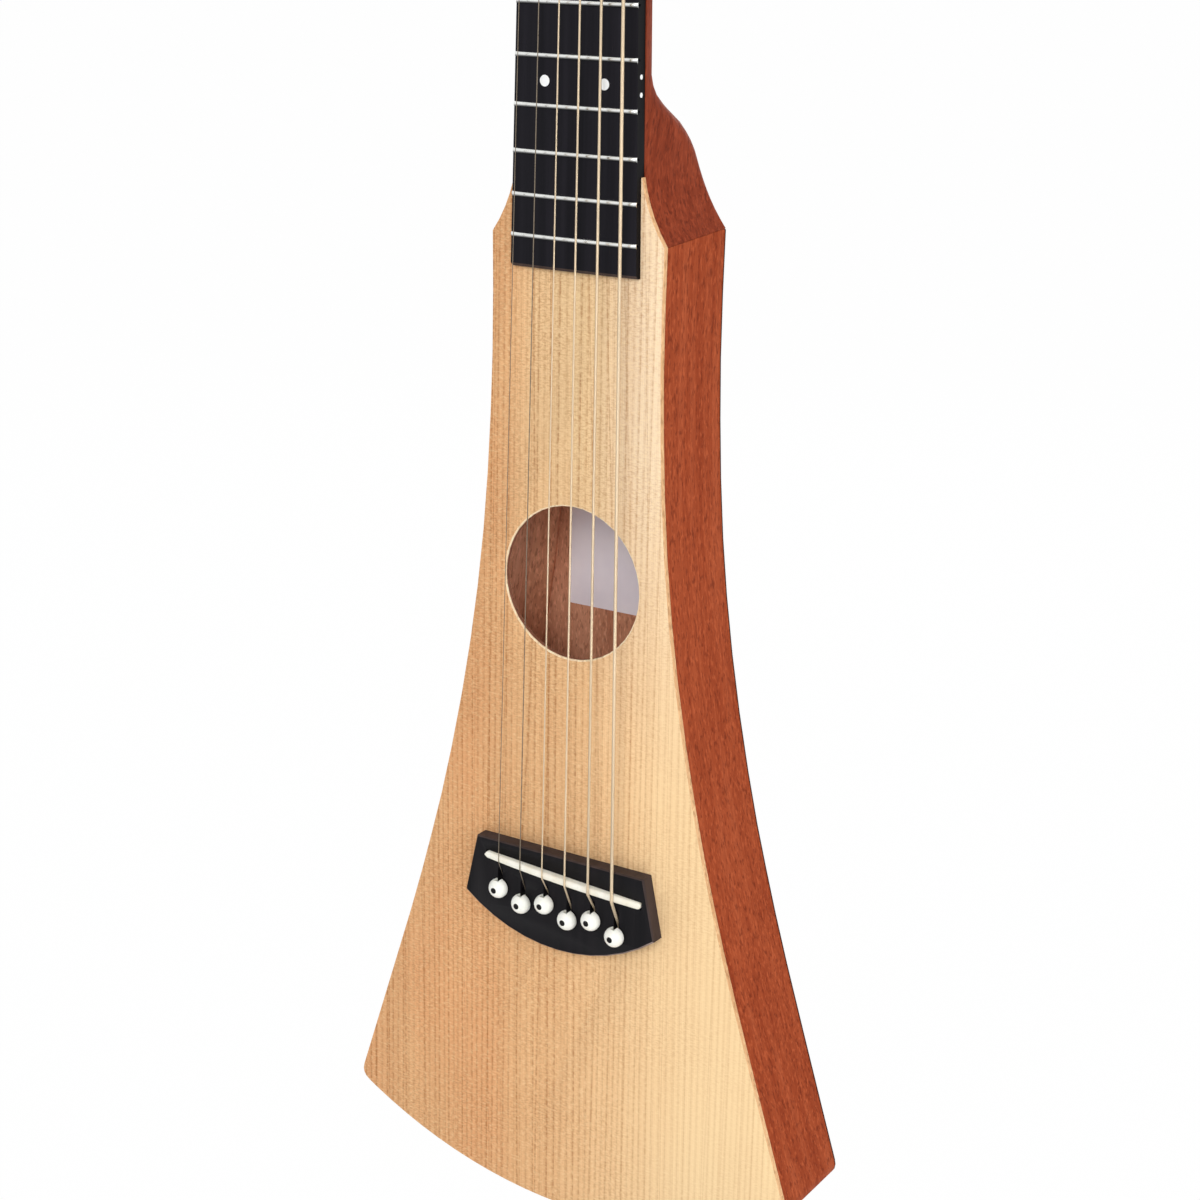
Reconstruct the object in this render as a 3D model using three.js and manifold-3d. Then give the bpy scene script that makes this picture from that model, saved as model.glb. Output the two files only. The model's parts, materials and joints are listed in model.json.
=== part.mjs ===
// A travel guitar with a slim flared body, in millimetres.
// The front faces -Y, X runs to the right of someone who faces it, and the neck points up +Z.
// The origin is where a wall hanger's yoke meets the neck, under the headstock's shoulders.
// Y is 0 on the glue plane, where the fingerboard meets the neck and the top plate meets the rim.
import * as THREE from 'three';
import { mergeVertices } from 'three/addons/utils/BufferGeometryUtils.js';
import Module from 'manifold-3d';

const wasm = await Module();
wasm.setup();

// Strings and fingerboard
const scaleLength = 609.6;
const semitonesPerOctave = 12;
const fretCount = 15;
const stringDiameters = [0.3, 0.41, 0.61, 0.81, 1.07, 1.35];
const nutStringSpread = 37.6;
const saddleStringSpread = 55.2;
const hangerAboveNut = 14;
const nutWidth = 43;
const octaveWidth = 54;
const boardPastLastFret = 12.1;
const fingerboardThickness = 6;
const boardEndBevel = 1.2;
const crownRadius = 406;
const crownSteps = 4;

// Frets
const fretCrownWidth = 2;
const fretCrownHeight = 1;
const fretShoulderHeight = 0.35;
const fretCrownTopShare = 0.36;
const fretTangWidth = 0.6;
const fretTangDepth = 1.5;
const fretSlotClearance = 0.12;
const fretSeat = 0.05;
const fretBevel = 0.9;
const fretEndShare = 0.35;

// Nut
const nutThickness = 5;
const nutSlotHeight = 1.4;
const nutRise = 2;
const nutSlotSlope = 0.12;
const nutCornerCut = 1.1;
const slotSteps = 4;
const stringClearance = 0.15;

// Body
const shoulderAboveLastFret = 0.1;
const tailCornerBelowSaddle = 124.3;
const tailSag = 29.8;
const shoulderHalfWidth = 38.4;
const tailHalfWidth = 107.2;
const cornerRadius = 6;
const innerCornerRadius = 2.5;
const topThickness = 2.4;
const rimDepth = 41.1;
const backThickness = 2.5;
const sideThickness = 3;
const glueLine = 0.15;
const soundHoleRadius = 31;
const soundHoleAboveSaddle = 121.8;
const soundHoleSteps = 20;
const hornAboveShoulder = 24.8;
const flareAboveShoulder = 34.2;
// The body's upper end leans: its back edge stands this much nearer the nut than its front edge
const shoulderLean = 2.9;
// Width of the side's curve over its length, each as a share of the whole flare and length
const sideCurveShares = [
  [0, 0], [0.1, -0.005], [0.2, 0.011], [0.3, 0.047], [0.4, 0.112], [0.5, 0.206],
  [0.6, 0.326], [0.68, 0.443], [0.76, 0.572], [0.88, 0.784], [1, 1],
];
const sideSteps = 16;
const flareSteps = 5;
const tailSteps = 12;
const cornerSteps = 4;

// Blocks, linings and braces inside the body
const neckBlockLength = 34;
const tailBlockWidth = 62;
const tailBlockThickness = 18;
const liningHeight = 11;
const liningWidth = 5.5;
const liningFoot = 1.5;
const braceWidth = 7;
const braceHeight = 10;
const braceTopShare = 0.45;
const braceEndHeight = 3;
const braceScoop = 24;
const braceEndGap = 0.6;
const upperBraceAboveHole = 42;
const lowerBraceBelowHole = 60;

// Bridge, saddle and pins
const bridgeTopHalfWidth = 40.2;
const bridgeLowerHalfWidth = 45.8;
const bridgeAboveSaddle = 8.3;
const bridgeCornerBelowSaddle = 17.4;
const bridgeBottomBelowSaddle = 33.1;
const bridgeThickness = 6.4;
const bridgeWall = 5.8;
const bridgeBevel = 0.5;
const bridgeArcSteps = 12;
const saddleSlant = 0.0615;
const saddleSetBack = 0.75;
const saddleOffset = 2.2;
const saddleLength = 75;
const saddleThickness = 3;
const saddleDepth = 3.6;
const saddleCrestAboveBoard = 5.8;
const saddleCrestCut = 0.8;
const saddleCrestShare = 0.5;
const saddleEndShare = 0.35;
const saddleFit = 0.2;
const bridgePlateThickness = 2.2;
const bridgePlateOverlap = 4;
const pinSpread = 56.5;
const nearPinBelowSaddle = 13;
const farPinBelowSaddle = 16.4;
const pinHoleRadius = 2.7;
const pinClearance = 0.2;
const pinHeadRadius = 4.2;
const pinHeadHeight = 5;
const pinCollarRadius = 3.1;
const pinCollarHeight = 1.3;
const pinTipRadius = 1.9;
const pinBelowPlate = 4;
const pinGrooveWidth = 1.75;
const pinGrooveDepth = 1.6;
const pinNotchHeight = 2;
const restGap = 0.05;
const pinSegments = 10;
const pinHeadSteps = 3;
const rampWidth = 2.4;
const rampDepth = 3;
const ballRadius = 1.9;
const ballOffset = 4.6;
const stringBelowPlate = 0.9;
const ballSegments = 8;
const ballRings = 5;

// Neck and heel
const neckDepthAtNut = 15.1;
const neckDepthAtHeel = 16.9;
const neckCheek = 2.2;
const heelLength = 61;
const blockCorner = 1.2;
const ringCornerSteps = 6;
// How the heel grows from the neck to the body: along its length, its depth, its width at the
// back and the roundness of its back edges, each as a share
const heelShares = [
  [0, 0, 0, 1], [0.1, 0.09, 0, 0.87], [0.2, 0.41, 0.005, 0.72], [0.3, 0.71, 0.01, 0.51],
  [0.4, 0.83, 0.01, 0.3], [0.5, 0.935, 0.015, 0.2], [0.6, 0.99, 0.07, 0.16], [0.7, 1, 0.215, 0.12],
  [0.8, 1, 0.43, 0.09], [0.9, 1, 0.69, 0.05], [1, 1, 1, 0],
];
const heelSteps = 16;
// The headstock's shoulder: along its height, its added width and how square its back is
const headShares = [
  [0, 0, 0], [0.22, 0.03, 0.25], [0.42, 0.16, 0.55], [0.6, 0.46, 0.8], [0.8, 0.84, 0.96], [1, 1, 1],
];
const headShoulderSteps = 8;

// Headstock
const headTilt = THREE.MathUtils.degToRad(12);
const headThickness = 14;
const headShoulderHalfWidth = 32;
const headTipHalfWidth = 28.5;
const headLength = 114;
const headShoulder = 17;
const headEdge = 1.6;
const headTipRise = 4;
const headTipSteps = 10;

// Tuning machines
const machinesPerSide = 3;
const machineSpacing = 34;
const firstMachine = 25;
const postInset = 19.5;
const postRadius = 3;
const postClearance = 0.3;
const postAboveHead = 11.5;
const postWaistRadius = 2.5;
const postWaistStart = 1.6;
const postWaistEnd = 9;
const postHoleHeight = 8.2;
const postHoleRadius = 0.9;
const postSegments = 12;
const boreSegments = 10;
const holeSegments = 8;
const plateWidth = 15;
const plateThickness = 1.2;
const plateEnd = 10;
const platePastWorm = 6;
const seatGap = 0.3;
const wheelTeeth = 14;
const wheelThickness = 4;
const wormPitch = 2.2;
const toothDepth = 1.2;
const toothTipShare = 0.22;
const toothRootShare = 0.42;
const wormRadius = 3.3;
const wormRootRadius = 2.2;
const wormTurns = 2.6;
const wormSides = 10;
const wormTipShare = 0.2;
const wormRootShare = 0.46;
const wormEmbed = 0.2;
const wormFadeShare = 0.3;
const wormMesh = 0.85;
const wormAboveFloor = 0.7;
const shaftRadius = 1.9;
const shaftClearance = 0.15;
const earThickness = 1.5;
const earWidth = 7;
const earRim = 2;
const earGap = 0.3;
const buttonGap = 5.5;
const buttonLength = 14;
const buttonWidth = 17;
const buttonThickness = 6.5;
const buttonCollarRadius = 3;
const buttonCollarLength = 2.6;
const buttonSegments = 12;
// The button's outline: along its length and its width, each as a share
const buttonShares = [
  [0, 0], [0, 0.3], [0.16, 0.62], [0.38, 0.93], [0.6, 1], [0.8, 0.86], [0.94, 0.5], [1, 0],
];
const wheelScrewRadius = 2.4;
const wheelScrewHeight = 1.5;

// String windings on the posts
const windingTurns = 2.2;
const windingSteps = 10;
const windingGap = 0.46;
const windingClearance = 0.3;
const windingChecks = 8;
const stringSides = 5;
const woundFrom = 0.5;

// Strap button
const strapPegRadius = 3.6;
const strapHoleClearance = 0.2;
const strapPegLength = 17;
const strapCollarRadius = 6.5;
const strapWaistRadius = 4.2;
const strapHeadRadius = 6.8;
const strapCollarThickness = 2;
const strapWaistLength = 4.5;
const strapHeadThickness = 2.8;
const strapEdge = 0.8;
const strapSegments = 12;

// A cut runs this far past the faces that it opens
const overrun = 1;

// Places that follow from the sizes above
const fretPlace = (number) => scaleLength * (1 - 2 ** (-number / semitonesPerOctave));
const down = (belowNut) => -(hangerAboveNut + belowNut);
const fingerboardLength = fretPlace(fretCount) + boardPastLastFret;
const shoulderBelowNut = fretPlace(fretCount) - shoulderAboveLastFret;
const hornBelowNut = shoulderBelowNut - hornAboveShoulder;
const flareBelowNut = shoulderBelowNut - flareAboveShoulder;
const heelStartBelowNut = shoulderBelowNut - heelLength;
const soundHoleBelowNut = scaleLength - soundHoleAboveSaddle;
const tailCornerBelowNut = scaleLength + tailCornerBelowSaddle;
const bridgeTopBelowNut = scaleLength - bridgeAboveSaddle;
const bridgeCornerBelowNut = scaleLength + bridgeCornerBelowSaddle;
const bridgeBottomBelowNut = scaleLength + bridgeBottomBelowSaddle;
const crownDrop = (x) => crownRadius - Math.sqrt(crownRadius ** 2 - x ** 2);
const boardHalfWidth = (belowNut) =>
  (nutWidth + ((octaveWidth - nutWidth) * belowNut) / fretPlace(semitonesPerOctave)) / 2;
const boardSurface = (x) => crownDrop(x) - fingerboardThickness;
const stringShare = (index) => index / (stringDiameters.length - 1) - 1 / 2;
const bridgeFace = -topThickness - bridgeThickness;
const backFace = rimDepth + backThickness;
const tailBelowNut = tailCornerBelowNut + tailSag;
const bodyLength = tailCornerBelowNut - shoulderBelowNut;
const headPivot = down(-nutThickness);

// Turning a shape's outline, drawn in x and z, into a plate between two depths
function plateFrom(shape, front, back, curveSegments = 1) {
  const depth = back - front;
  const geometry = new THREE.ExtrudeGeometry(shape, { depth, bevelEnabled: false, curveSegments });
  geometry.rotateX(Math.PI / 2);
  geometry.translate(0, back, 0);
  return geometry;
}

const vector = (x, y, z) => new THREE.Vector3(x, y, z);

// Booleans
function solidOf(geometry) {
  const bare = geometry.clone();
  bare.deleteAttribute('normal');
  bare.deleteAttribute('uv');
  const welded = mergeVertices(bare);
  const vertProperties = new Float32Array(welded.attributes.position.array);
  const triVerts = new Uint32Array(welded.index.array);
  return new wasm.Manifold(new wasm.Mesh({ numProp: 3, vertProperties, triVerts }));
}

function geometryOf(solid) {
  const { vertProperties, triVerts } = solid.getMesh();
  const geometry = new THREE.BufferGeometry();
  geometry.setAttribute('position', new THREE.BufferAttribute(vertProperties, 3));
  geometry.setIndex(new THREE.BufferAttribute(triVerts, 1));
  geometry.computeVertexNormals();
  return geometry;
}

function cut(geometry, cutters) {
  const left = cutters.reduce((solid, cutter) => solid.subtract(solidOf(cutter)), solidOf(geometry));
  return geometryOf(left);
}

function join(geometries) {
  const [first, ...others] = geometries.map(solidOf);
  return geometryOf(others.reduce((whole, other) => whole.add(other), first));
}

// The same closed skin with its faces pointing out
function facingOut(geometry) {
  const place = geometry.attributes.position;
  const index = geometry.index.array;
  const [a, b, c] = [vector(0, 0, 0), vector(0, 0, 0), vector(0, 0, 0)];
  let volume = 0;
  for (let i = 0; i < index.length; i += 3) {
    a.fromBufferAttribute(place, index[i]);
    b.fromBufferAttribute(place, index[i + 1]);
    c.fromBufferAttribute(place, index[i + 2]);
    volume += a.dot(b.cross(c));
  }
  if (volume < 0) index.reverse();
  geometry.computeVertexNormals();
  return geometry;
}

// A closed skin over rings of points that all have the same count, with flat fans at both ends.
// Each fan meets in the middle of a ring's first corners, which has to see all the others.
function loft(rings, cornersInMiddle = rings[0].length) {
  const count = rings[0].length;
  const last = rings.length - 1;
  const middle = (ring) => ring.slice(0, cornersInMiddle)
    .reduce((sum, point) => sum.add(point), new THREE.Vector3())
    .divideScalar(cornersInMiddle);
  const points = [...rings.flat(), middle(rings[0]), middle(rings[last])];
  const startCentre = rings.length * count;
  const endCentre = startCentre + 1;
  const index = [];
  for (let step = 0; step < count; step += 1) {
    const next = (step + 1) % count;
    index.push(startCentre, next, step);
    index.push(endCentre, last * count + step, last * count + next);
    for (let row = 0; row < last; row += 1) {
      const here = row * count;
      const above = here + count;
      index.push(here + step, here + next, above + next);
      index.push(here + step, above + next, above + step);
    }
  }
  const geometry = new THREE.BufferGeometry().setFromPoints(points);
  geometry.setIndex(index);
  return facingOut(geometry);
}

// A round cord through points, with mitred rings that keep their twist
function cordThrough(points, radius, sides) {
  const legs = points.slice(1).map((point, i) => point.clone().sub(points[i]).normalize());
  let across = new THREE.Vector3(1, 0, 0);
  const rings = points.map((point, i) => {
    const before = legs[Math.max(i - 1, 0)];
    const after = legs[Math.min(i, legs.length - 1)];
    const along = before.clone().add(after).normalize();
    across = across.clone().addScaledVector(along, -across.dot(along)).normalize();
    const upward = along.clone().cross(across);
    return Array.from({ length: sides }, (_, side) => {
      const turn = (2 * Math.PI * side) / sides;
      const spoke = across.clone().multiplyScalar(radius * Math.cos(turn));
      return spoke.addScaledVector(upward, radius * Math.sin(turn)).add(point);
    });
  });
  return loft(rings);
}

// A cylinder whose axis runs from one point to another
function rod(from, to, radius, segments) {
  const length = from.distanceTo(to);
  const geometry = new THREE.CylinderGeometry(radius, radius, length, segments);
  const along = to.clone().sub(from).normalize();
  const turn = new THREE.Quaternion().setFromUnitVectors(new THREE.Vector3(0, 1, 0), along);
  geometry.applyQuaternion(turn);
  const centre = from.clone().add(to).divideScalar(2);
  return geometry.translate(centre.x, centre.y, centre.z);
}

function block(low, high) {
  const size = high.clone().sub(low);
  const geometry = new THREE.BoxGeometry(size.x, size.y, size.z);
  return geometry.translate(low.x + size.x / 2, low.y + size.y / 2, low.z + size.z / 2);
}

const finishes = {
  spruce: { color: 0xe6bd84, roughness: 0.5, metalness: 0 },
  mahogany: { color: 0x8c4428, roughness: 0.45, metalness: 0 },
  cedar: { color: 0xb9805a, roughness: 0.7, metalness: 0 },
  blackWood: { color: 0x1d1b1e, roughness: 0.5, metalness: 0 },
  ivory: { color: 0xf2ecda, roughness: 0.35, metalness: 0 },
  nickel: { color: 0xcfcdc6, roughness: 0.25, metalness: 1 },
  steel: { color: 0xb9bcc0, roughness: 0.3, metalness: 1 },
  bronze: { color: 0xc89f5a, roughness: 0.35, metalness: 1 },
};

const guitar = new THREE.Group();

function piece(name, geometry, finish, parent = guitar) {
  const mesh = new THREE.Mesh(geometry, new THREE.MeshStandardMaterial(finishes[finish]));
  mesh.name = name;
  parent.add(mesh);
  return mesh;
}

// Body outline
// The right half of the rim as points in x and z, from the shoulder to the middle of the tail
function rimCorners() {
  const side = new THREE.SplineCurve(sideCurveShares.map(([length, flare]) => new THREE.Vector2(
    shoulderHalfWidth + flare * (tailHalfWidth - shoulderHalfWidth),
    down(shoulderBelowNut + length * bodyLength),
  )));
  const sidePoints = side.getPoints(sideSteps);
  const tailRadius = (tailHalfWidth ** 2 + tailSag ** 2) / (2 * tailSag);
  const widest = Math.asin(tailHalfWidth / tailRadius);
  const tailPoints = Array.from({ length: tailSteps }, (_, step) => {
    const angle = widest * (1 - (step + 1) / tailSteps);
    const rise = tailRadius * (1 - Math.cos(angle));
    return new THREE.Vector2(tailRadius * Math.sin(angle), down(tailBelowNut) + rise);
  });
  return { points: [...sidePoints, ...tailPoints], corner: sidePoints.length - 1 };
}

// The same path moved inwards, with its tail corner rounded
function rimPath(inset) {
  const { points, corner } = rimCorners();
  const directions = points.slice(1).map((point, i) => point.clone().sub(points[i]).normalize());
  const moved = points.map((point, i) => {
    const before = i === 0 ? new THREE.Vector2(0, -1) : directions[i - 1];
    const after = i === points.length - 1 ? new THREE.Vector2(-1, 0) : directions[i];
    const inward = new THREE.Vector2(before.y + after.y, -before.x - after.x).normalize();
    const lean = inward.dot(new THREE.Vector2(before.y, -before.x));
    return point.clone().addScaledVector(inward, inset / lean);
  });
  moved[0].y = points[0].y;
  moved[moved.length - 1].x = 0;
  const radius = Math.max(cornerRadius - inset, innerCornerRadius);
  const into = moved[corner].clone().sub(moved[corner - 1]).normalize();
  const out = moved[corner + 1].clone().sub(moved[corner]).normalize();
  const reach = radius * Math.tan(Math.acos(into.dot(out)) / 2);
  const start = moved[corner].clone().addScaledVector(into, -reach);
  const end = moved[corner].clone().addScaledVector(out, reach);
  const rounding = new THREE.QuadraticBezierCurve(start, moved[corner], end).getPoints(cornerSteps);
  return [...moved.slice(0, corner), ...rounding, ...moved.slice(corner + 1)];
}

const mirrored = (points) => points.map((point) => new THREE.Vector2(-point.x, point.y)).reverse();

// Where a path lies sideways at a given height
function halfWidthOn(path, height) {
  const i = path.findIndex((point, n) => n > 0 && point.y <= height);
  const share = (path[i - 1].y - height) / (path[i - 1].y - path[i].y);
  return path[i - 1].x + share * (path[i].x - path[i - 1].x);
}

// The shoulder's hollow curve, from the board's edge out to the body's full width
const flareStartHalfWidth = boardHalfWidth(flareBelowNut);
function flareHalfWidth(belowNut) {
  const reach = shoulderBelowNut - flareBelowNut;
  const rise = shoulderHalfWidth - flareStartHalfWidth;
  const radius = (reach ** 2 + rise ** 2) / (2 * rise);
  const along = Math.max(belowNut - flareBelowNut, 0);
  return flareStartHalfWidth + radius - Math.sqrt(radius ** 2 - along ** 2);
}
const neckHalfWidth = (belowNut) =>
  Math.max(boardHalfWidth(Math.max(belowNut, 0)), flareHalfWidth(Math.min(belowNut, shoulderBelowNut)));

// Pins, saddle and strings
const saddleBelowNut = (x) => scaleLength + saddleSetBack + saddleSlant * x;
function pinPlace(index) {
  const x = stringShare(index) * pinSpread;
  const below = index % 2 === 0 ? nearPinBelowSaddle : farPinBelowSaddle;
  return { x, z: down(saddleBelowNut(x) + below) };
}
const pinPlaces = stringDiameters.map((_, index) => pinPlace(index));

function pinHole(place) {
  const from = vector(place.x, bridgeFace - overrun, place.z);
  const to = vector(place.x, bridgePlateThickness + overrun, place.z);
  return rod(from, to, pinHoleRadius, pinSegments);
}

// Plates
function topPlate() {
  const flare = Array.from({ length: flareSteps }, (_, step) => {
    const belowNut = hornBelowNut + ((shoulderBelowNut - hornBelowNut) * step) / flareSteps;
    return new THREE.Vector2(neckHalfWidth(belowNut), down(belowNut));
  });
  const right = [...flare, ...rimPath(0)];
  const boardEdge = (belowNut) => boardHalfWidth(belowNut) + glueLine;
  const notchEnd = down(fingerboardLength) - glueLine;
  const notch = [
    new THREE.Vector2(-boardEdge(hornBelowNut), down(hornBelowNut)),
    new THREE.Vector2(-boardEdge(fingerboardLength), notchEnd),
    new THREE.Vector2(boardEdge(fingerboardLength), notchEnd),
    new THREE.Vector2(boardEdge(hornBelowNut), down(hornBelowNut)),
  ];
  const outline = new THREE.Shape([...right, ...mirrored(right).slice(1), ...notch]);
  const hole = new THREE.Path();
  hole.absarc(0, down(soundHoleBelowNut), soundHoleRadius, 0, 2 * Math.PI);
  outline.holes.push(hole);
  const plate = plateFrom(outline, -topThickness, 0, soundHoleSteps);
  piece('top_plate', cut(plate, pinPlaces.map(pinHole)), 'spruce');
}

// Everything above the body's leaning upper end, where the heel stands
function shoulderCut() {
  const end = (y) => down(shoulderBelowNut) + (shoulderLean * y) / backFace - glueLine;
  const front = -overrun;
  const back = backFace + overrun;
  const high = down(shoulderBelowNut) + 2 * shoulderLean + overrun;
  const half = shoulderHalfWidth + overrun;
  return loft([-half, half].map((x) => [
    vector(x, front, end(front)),
    vector(x, back, end(back)),
    vector(x, back, high),
    vector(x, front, high),
  ]));
}

function backPlate() {
  const right = rimPath(0);
  right[0].y += shoulderLean;
  const outline = new THREE.Shape([...right, ...mirrored(right).slice(1)]);
  piece('back_plate', cut(plateFrom(outline, rimDepth, backFace), [shoulderCut()]), 'mahogany');
}

const strapAxisDepth = rimDepth / 2;
function strapHole() {
  const from = vector(0, strapAxisDepth, down(tailBelowNut) - overrun);
  const to = vector(0, strapAxisDepth, down(tailBelowNut) + sideThickness + tailBlockThickness + overrun);
  return rod(from, to, strapPegRadius + strapHoleClearance, strapSegments);
}

function sides() {
  const outer = rimPath(0);
  const inner = rimPath(sideThickness);
  outer[0].y += shoulderLean;
  inner[0].y += shoulderLean;
  outer[outer.length - 1].x = glueLine / 2;
  inner[inner.length - 1].x = glueLine / 2;
  const right = [...outer, ...inner.reverse()];
  const names = [['side_right', right], ['side_left', mirrored(right)]];
  names.forEach(([name, points]) => {
    const panel = plateFrom(new THREE.Shape(points), 0, rimDepth);
    piece(name, cut(panel, [strapHole(), shoulderCut()]), 'mahogany');
  });
}

// Linings: glue strips with a wedge section along the rim's inside, against a plate
function linings() {
  const fromBlock = down(shoulderBelowNut + neckBlockLength + glueLine);
  const tailHalf = tailBlockWidth / 2 + glueLine;
  const edges = [0, liningWidth].map((inset) => rimPath(sideThickness + glueLine + inset));
  const first = edges[0].findIndex((_, i) => edges.every((path) => path[i].y < fromBlock));
  const beyond = edges[0].findIndex((_, i) =>
    edges.some((path) => path[i].x < tailHalf && path[i].y < down(tailCornerBelowNut)));
  const startShare = Math.max(...edges.map((path) =>
    (path[first - 1].y - fromBlock) / (path[first - 1].y - path[first].y)));
  const endShare = Math.min(...edges.map((path) =>
    (path[beyond - 1].x - tailHalf) / (path[beyond - 1].x - path[beyond].x)));
  const [outer, inner] = edges.map((path) => [
    path[first - 1].clone().lerp(path[first], startShare),
    ...path.slice(first, beyond),
    path[beyond - 1].clone().lerp(path[beyond], endShare),
  ]);
  const plates = [['front', 0, 1], ['back', rimDepth, -1]];
  plates.forEach(([plateName, face, way]) => {
    [['right', 1], ['left', -1]].forEach(([sideName, hand]) => {
      const rings = outer.map((edge, i) => {
        const section = [
          vector(hand * edge.x, face, edge.y),
          vector(hand * inner[i].x, face, inner[i].y),
          vector(hand * inner[i].x, face + way * liningFoot, inner[i].y),
          vector(hand * edge.x, face + way * liningHeight, edge.y),
        ];
        return section;
      });
      piece(`lining_${plateName}_${sideName}`, loft(rings), 'cedar');
    });
  });
}

function tailBlock() {
  const path = rimPath(sideThickness + glueLine).filter((point) => point.x < tailBlockWidth / 2);
  const edge = halfWidthOn(rimPath(sideThickness + glueLine), path[0].y);
  const topOfBlock = down(tailBelowNut) + sideThickness + tailBlockThickness;
  const half = [
    new THREE.Vector2(edge, topOfBlock),
    ...path,
  ];
  const outline = new THREE.Shape([...half, ...mirrored(half).slice(1)]);
  piece('tail_block', cut(plateFrom(outline, 0, rimDepth), [strapHole()]), 'mahogany');
}

// A brace across the top plate's inside, rounded down at both ends to meet the linings
function brace(name, belowNut) {
  const inside = rimPath(sideThickness + glueLine + liningWidth);
  const half = halfWidthOn(inside, down(belowNut) + braceWidth) - braceEndGap;
  const heights = [
    [-half, braceEndHeight],
    [-half + braceScoop, braceHeight],
    [half - braceScoop, braceHeight],
    [half, braceEndHeight],
  ];
  const rings = heights.map(([x, height]) => {
    const z = down(belowNut);
    const top = (braceWidth * braceTopShare) / 2;
    return [
      vector(x, 0, z - braceWidth / 2),
      vector(x, 0, z + braceWidth / 2),
      vector(x, height, z + top),
      vector(x, height, z - top),
    ];
  });
  piece(name, loft(rings), 'spruce');
}

// Neck
// One level cut through the neck: flat in front, with cheeks that run back into rounded corners
function neckRing({ height, front, frontHalf, backHalf, depth, cornerAcross, cornerDeep }) {
  const ring = [vector(-frontHalf, front, height), vector(frontHalf, front, height)];
  [1, -1].forEach((hand) => {
    for (let step = 0; step <= ringCornerSteps; step += 1) {
      const share = hand > 0 ? step : ringCornerSteps - step;
      const turn = (Math.PI / 2) * (share / ringCornerSteps);
      const x = backHalf - cornerAcross * (1 - Math.cos(turn));
      const y = front + depth - cornerDeep * (1 - Math.sin(turn));
      ring.push(vector(hand * x, y, height));
    }
  });
  return ring;
}

// Both roundings of a back corner, from a squared block at 0 to a full round at 1
function roundness(share, half, depth, square) {
  return {
    cornerAcross: THREE.MathUtils.lerp(square, half - square, share),
    cornerDeep: THREE.MathUtils.lerp(square, depth - neckCheek, share),
  };
}

const column = (rows, i) => new THREE.SplineCurve(rows.map((row) => new THREE.Vector2(row[0], row[i])));

function heelRings() {
  const [depths, widths, rounds] = [1, 2, 3].map((i) => column(heelShares, i).getPoints(heelSteps));
  return depths.map((point, i) => {
    const lean = point.x * shoulderLean;
    const belowNut = heelStartBelowNut + point.x * heelLength;
    const depth = THREE.MathUtils.lerp(neckDepthAtHeel, backFace, Math.min(point.y, 1));
    const slim = boardHalfWidth(belowNut);
    const backHalf = THREE.MathUtils.lerp(slim, shoulderHalfWidth, THREE.MathUtils.clamp(widths[i].y, 0, 1));
    const frontHalf = neckHalfWidth(belowNut);
    const round = roundness(THREE.MathUtils.clamp(rounds[i].y, 0, 1), backHalf, depth, blockCorner);
    const ring = neckRing({ height: down(belowNut), front: 0, frontHalf, backHalf, depth, ...round });
    return ring.map((corner) => corner.setZ(corner.z + (lean * corner.y) / backFace));
  });
}

function slimRing(belowNut) {
  const depth = THREE.MathUtils.lerp(neckDepthAtNut, neckDepthAtHeel, belowNut / heelStartBelowNut);
  const half = boardHalfWidth(Math.max(belowNut, 0));
  const round = roundness(1, half, depth, blockCorner);
  return neckRing({ height: down(belowNut), front: 0, frontHalf: half, backHalf: half, depth, ...round });
}

const headCos = Math.cos(headTilt);
const headSin = Math.sin(headTilt);
function headRing(along, half, squareShare) {
  const depth = THREE.MathUtils.lerp(neckDepthAtNut, headThickness / headCos, squareShare);
  const round = roundness(1 - squareShare, half, depth, headEdge);
  const height = headPivot + along * headCos;
  return neckRing({ height, front: along * headSin, frontHalf: half, backHalf: half, depth, ...round });
}

function headRings() {
  const throat = nutWidth / 2;
  const [added, squares] = [1, 2].map((i) => column(headShares, i).getPoints(headShoulderSteps));
  const shoulder = added.map((point, i) => {
    const half = THREE.MathUtils.lerp(throat, headShoulderHalfWidth, THREE.MathUtils.clamp(point.y, 0, 1));
    return headRing(point.x * headShoulder, half, THREE.MathUtils.clamp(squares[i].y, 0, 1));
  });
  return [...shoulder, headRing(headLength + headTipRise + overrun, headTipHalfWidth, 1)];
}

// The headstock's own frame: front face on its XZ plane, Z up along the headstock
const headFrame = new THREE.Matrix4().makeRotationX(-headTilt).setPosition(0, 0, headPivot);

// Everything above the headstock's gently arched tip
function tipCut() {
  const beyond = headThickness;
  const radius = (headTipHalfWidth ** 2 + headTipRise ** 2) / (2 * headTipRise);
  const reach = headTipHalfWidth + overrun;
  const arch = Array.from({ length: headTipSteps + 1 }, (_, step) => {
    const x = reach * ((2 * step) / headTipSteps - 1);
    const rise = Math.sqrt(radius ** 2 - x ** 2) - radius + headTipRise;
    return new THREE.Vector2(x, headLength + rise);
  });
  const far = headLength + headTipRise + beyond;
  const shape = new THREE.Shape([...arch, new THREE.Vector2(reach, far), new THREE.Vector2(-reach, far)]);
  return plateFrom(shape, -beyond, headThickness + beyond).applyMatrix4(headFrame);
}

// The machines' posts, three a side, numbered from the nut upwards
const machinePlaces = stringDiameters.map((_, index) => {
  const hand = stringShare(index) < 0 ? -1 : 1;
  const order = Math.min(index, stringDiameters.length - 1 - index);
  return { hand, x: hand * postInset, z: firstMachine + order * machineSpacing };
});

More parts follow.
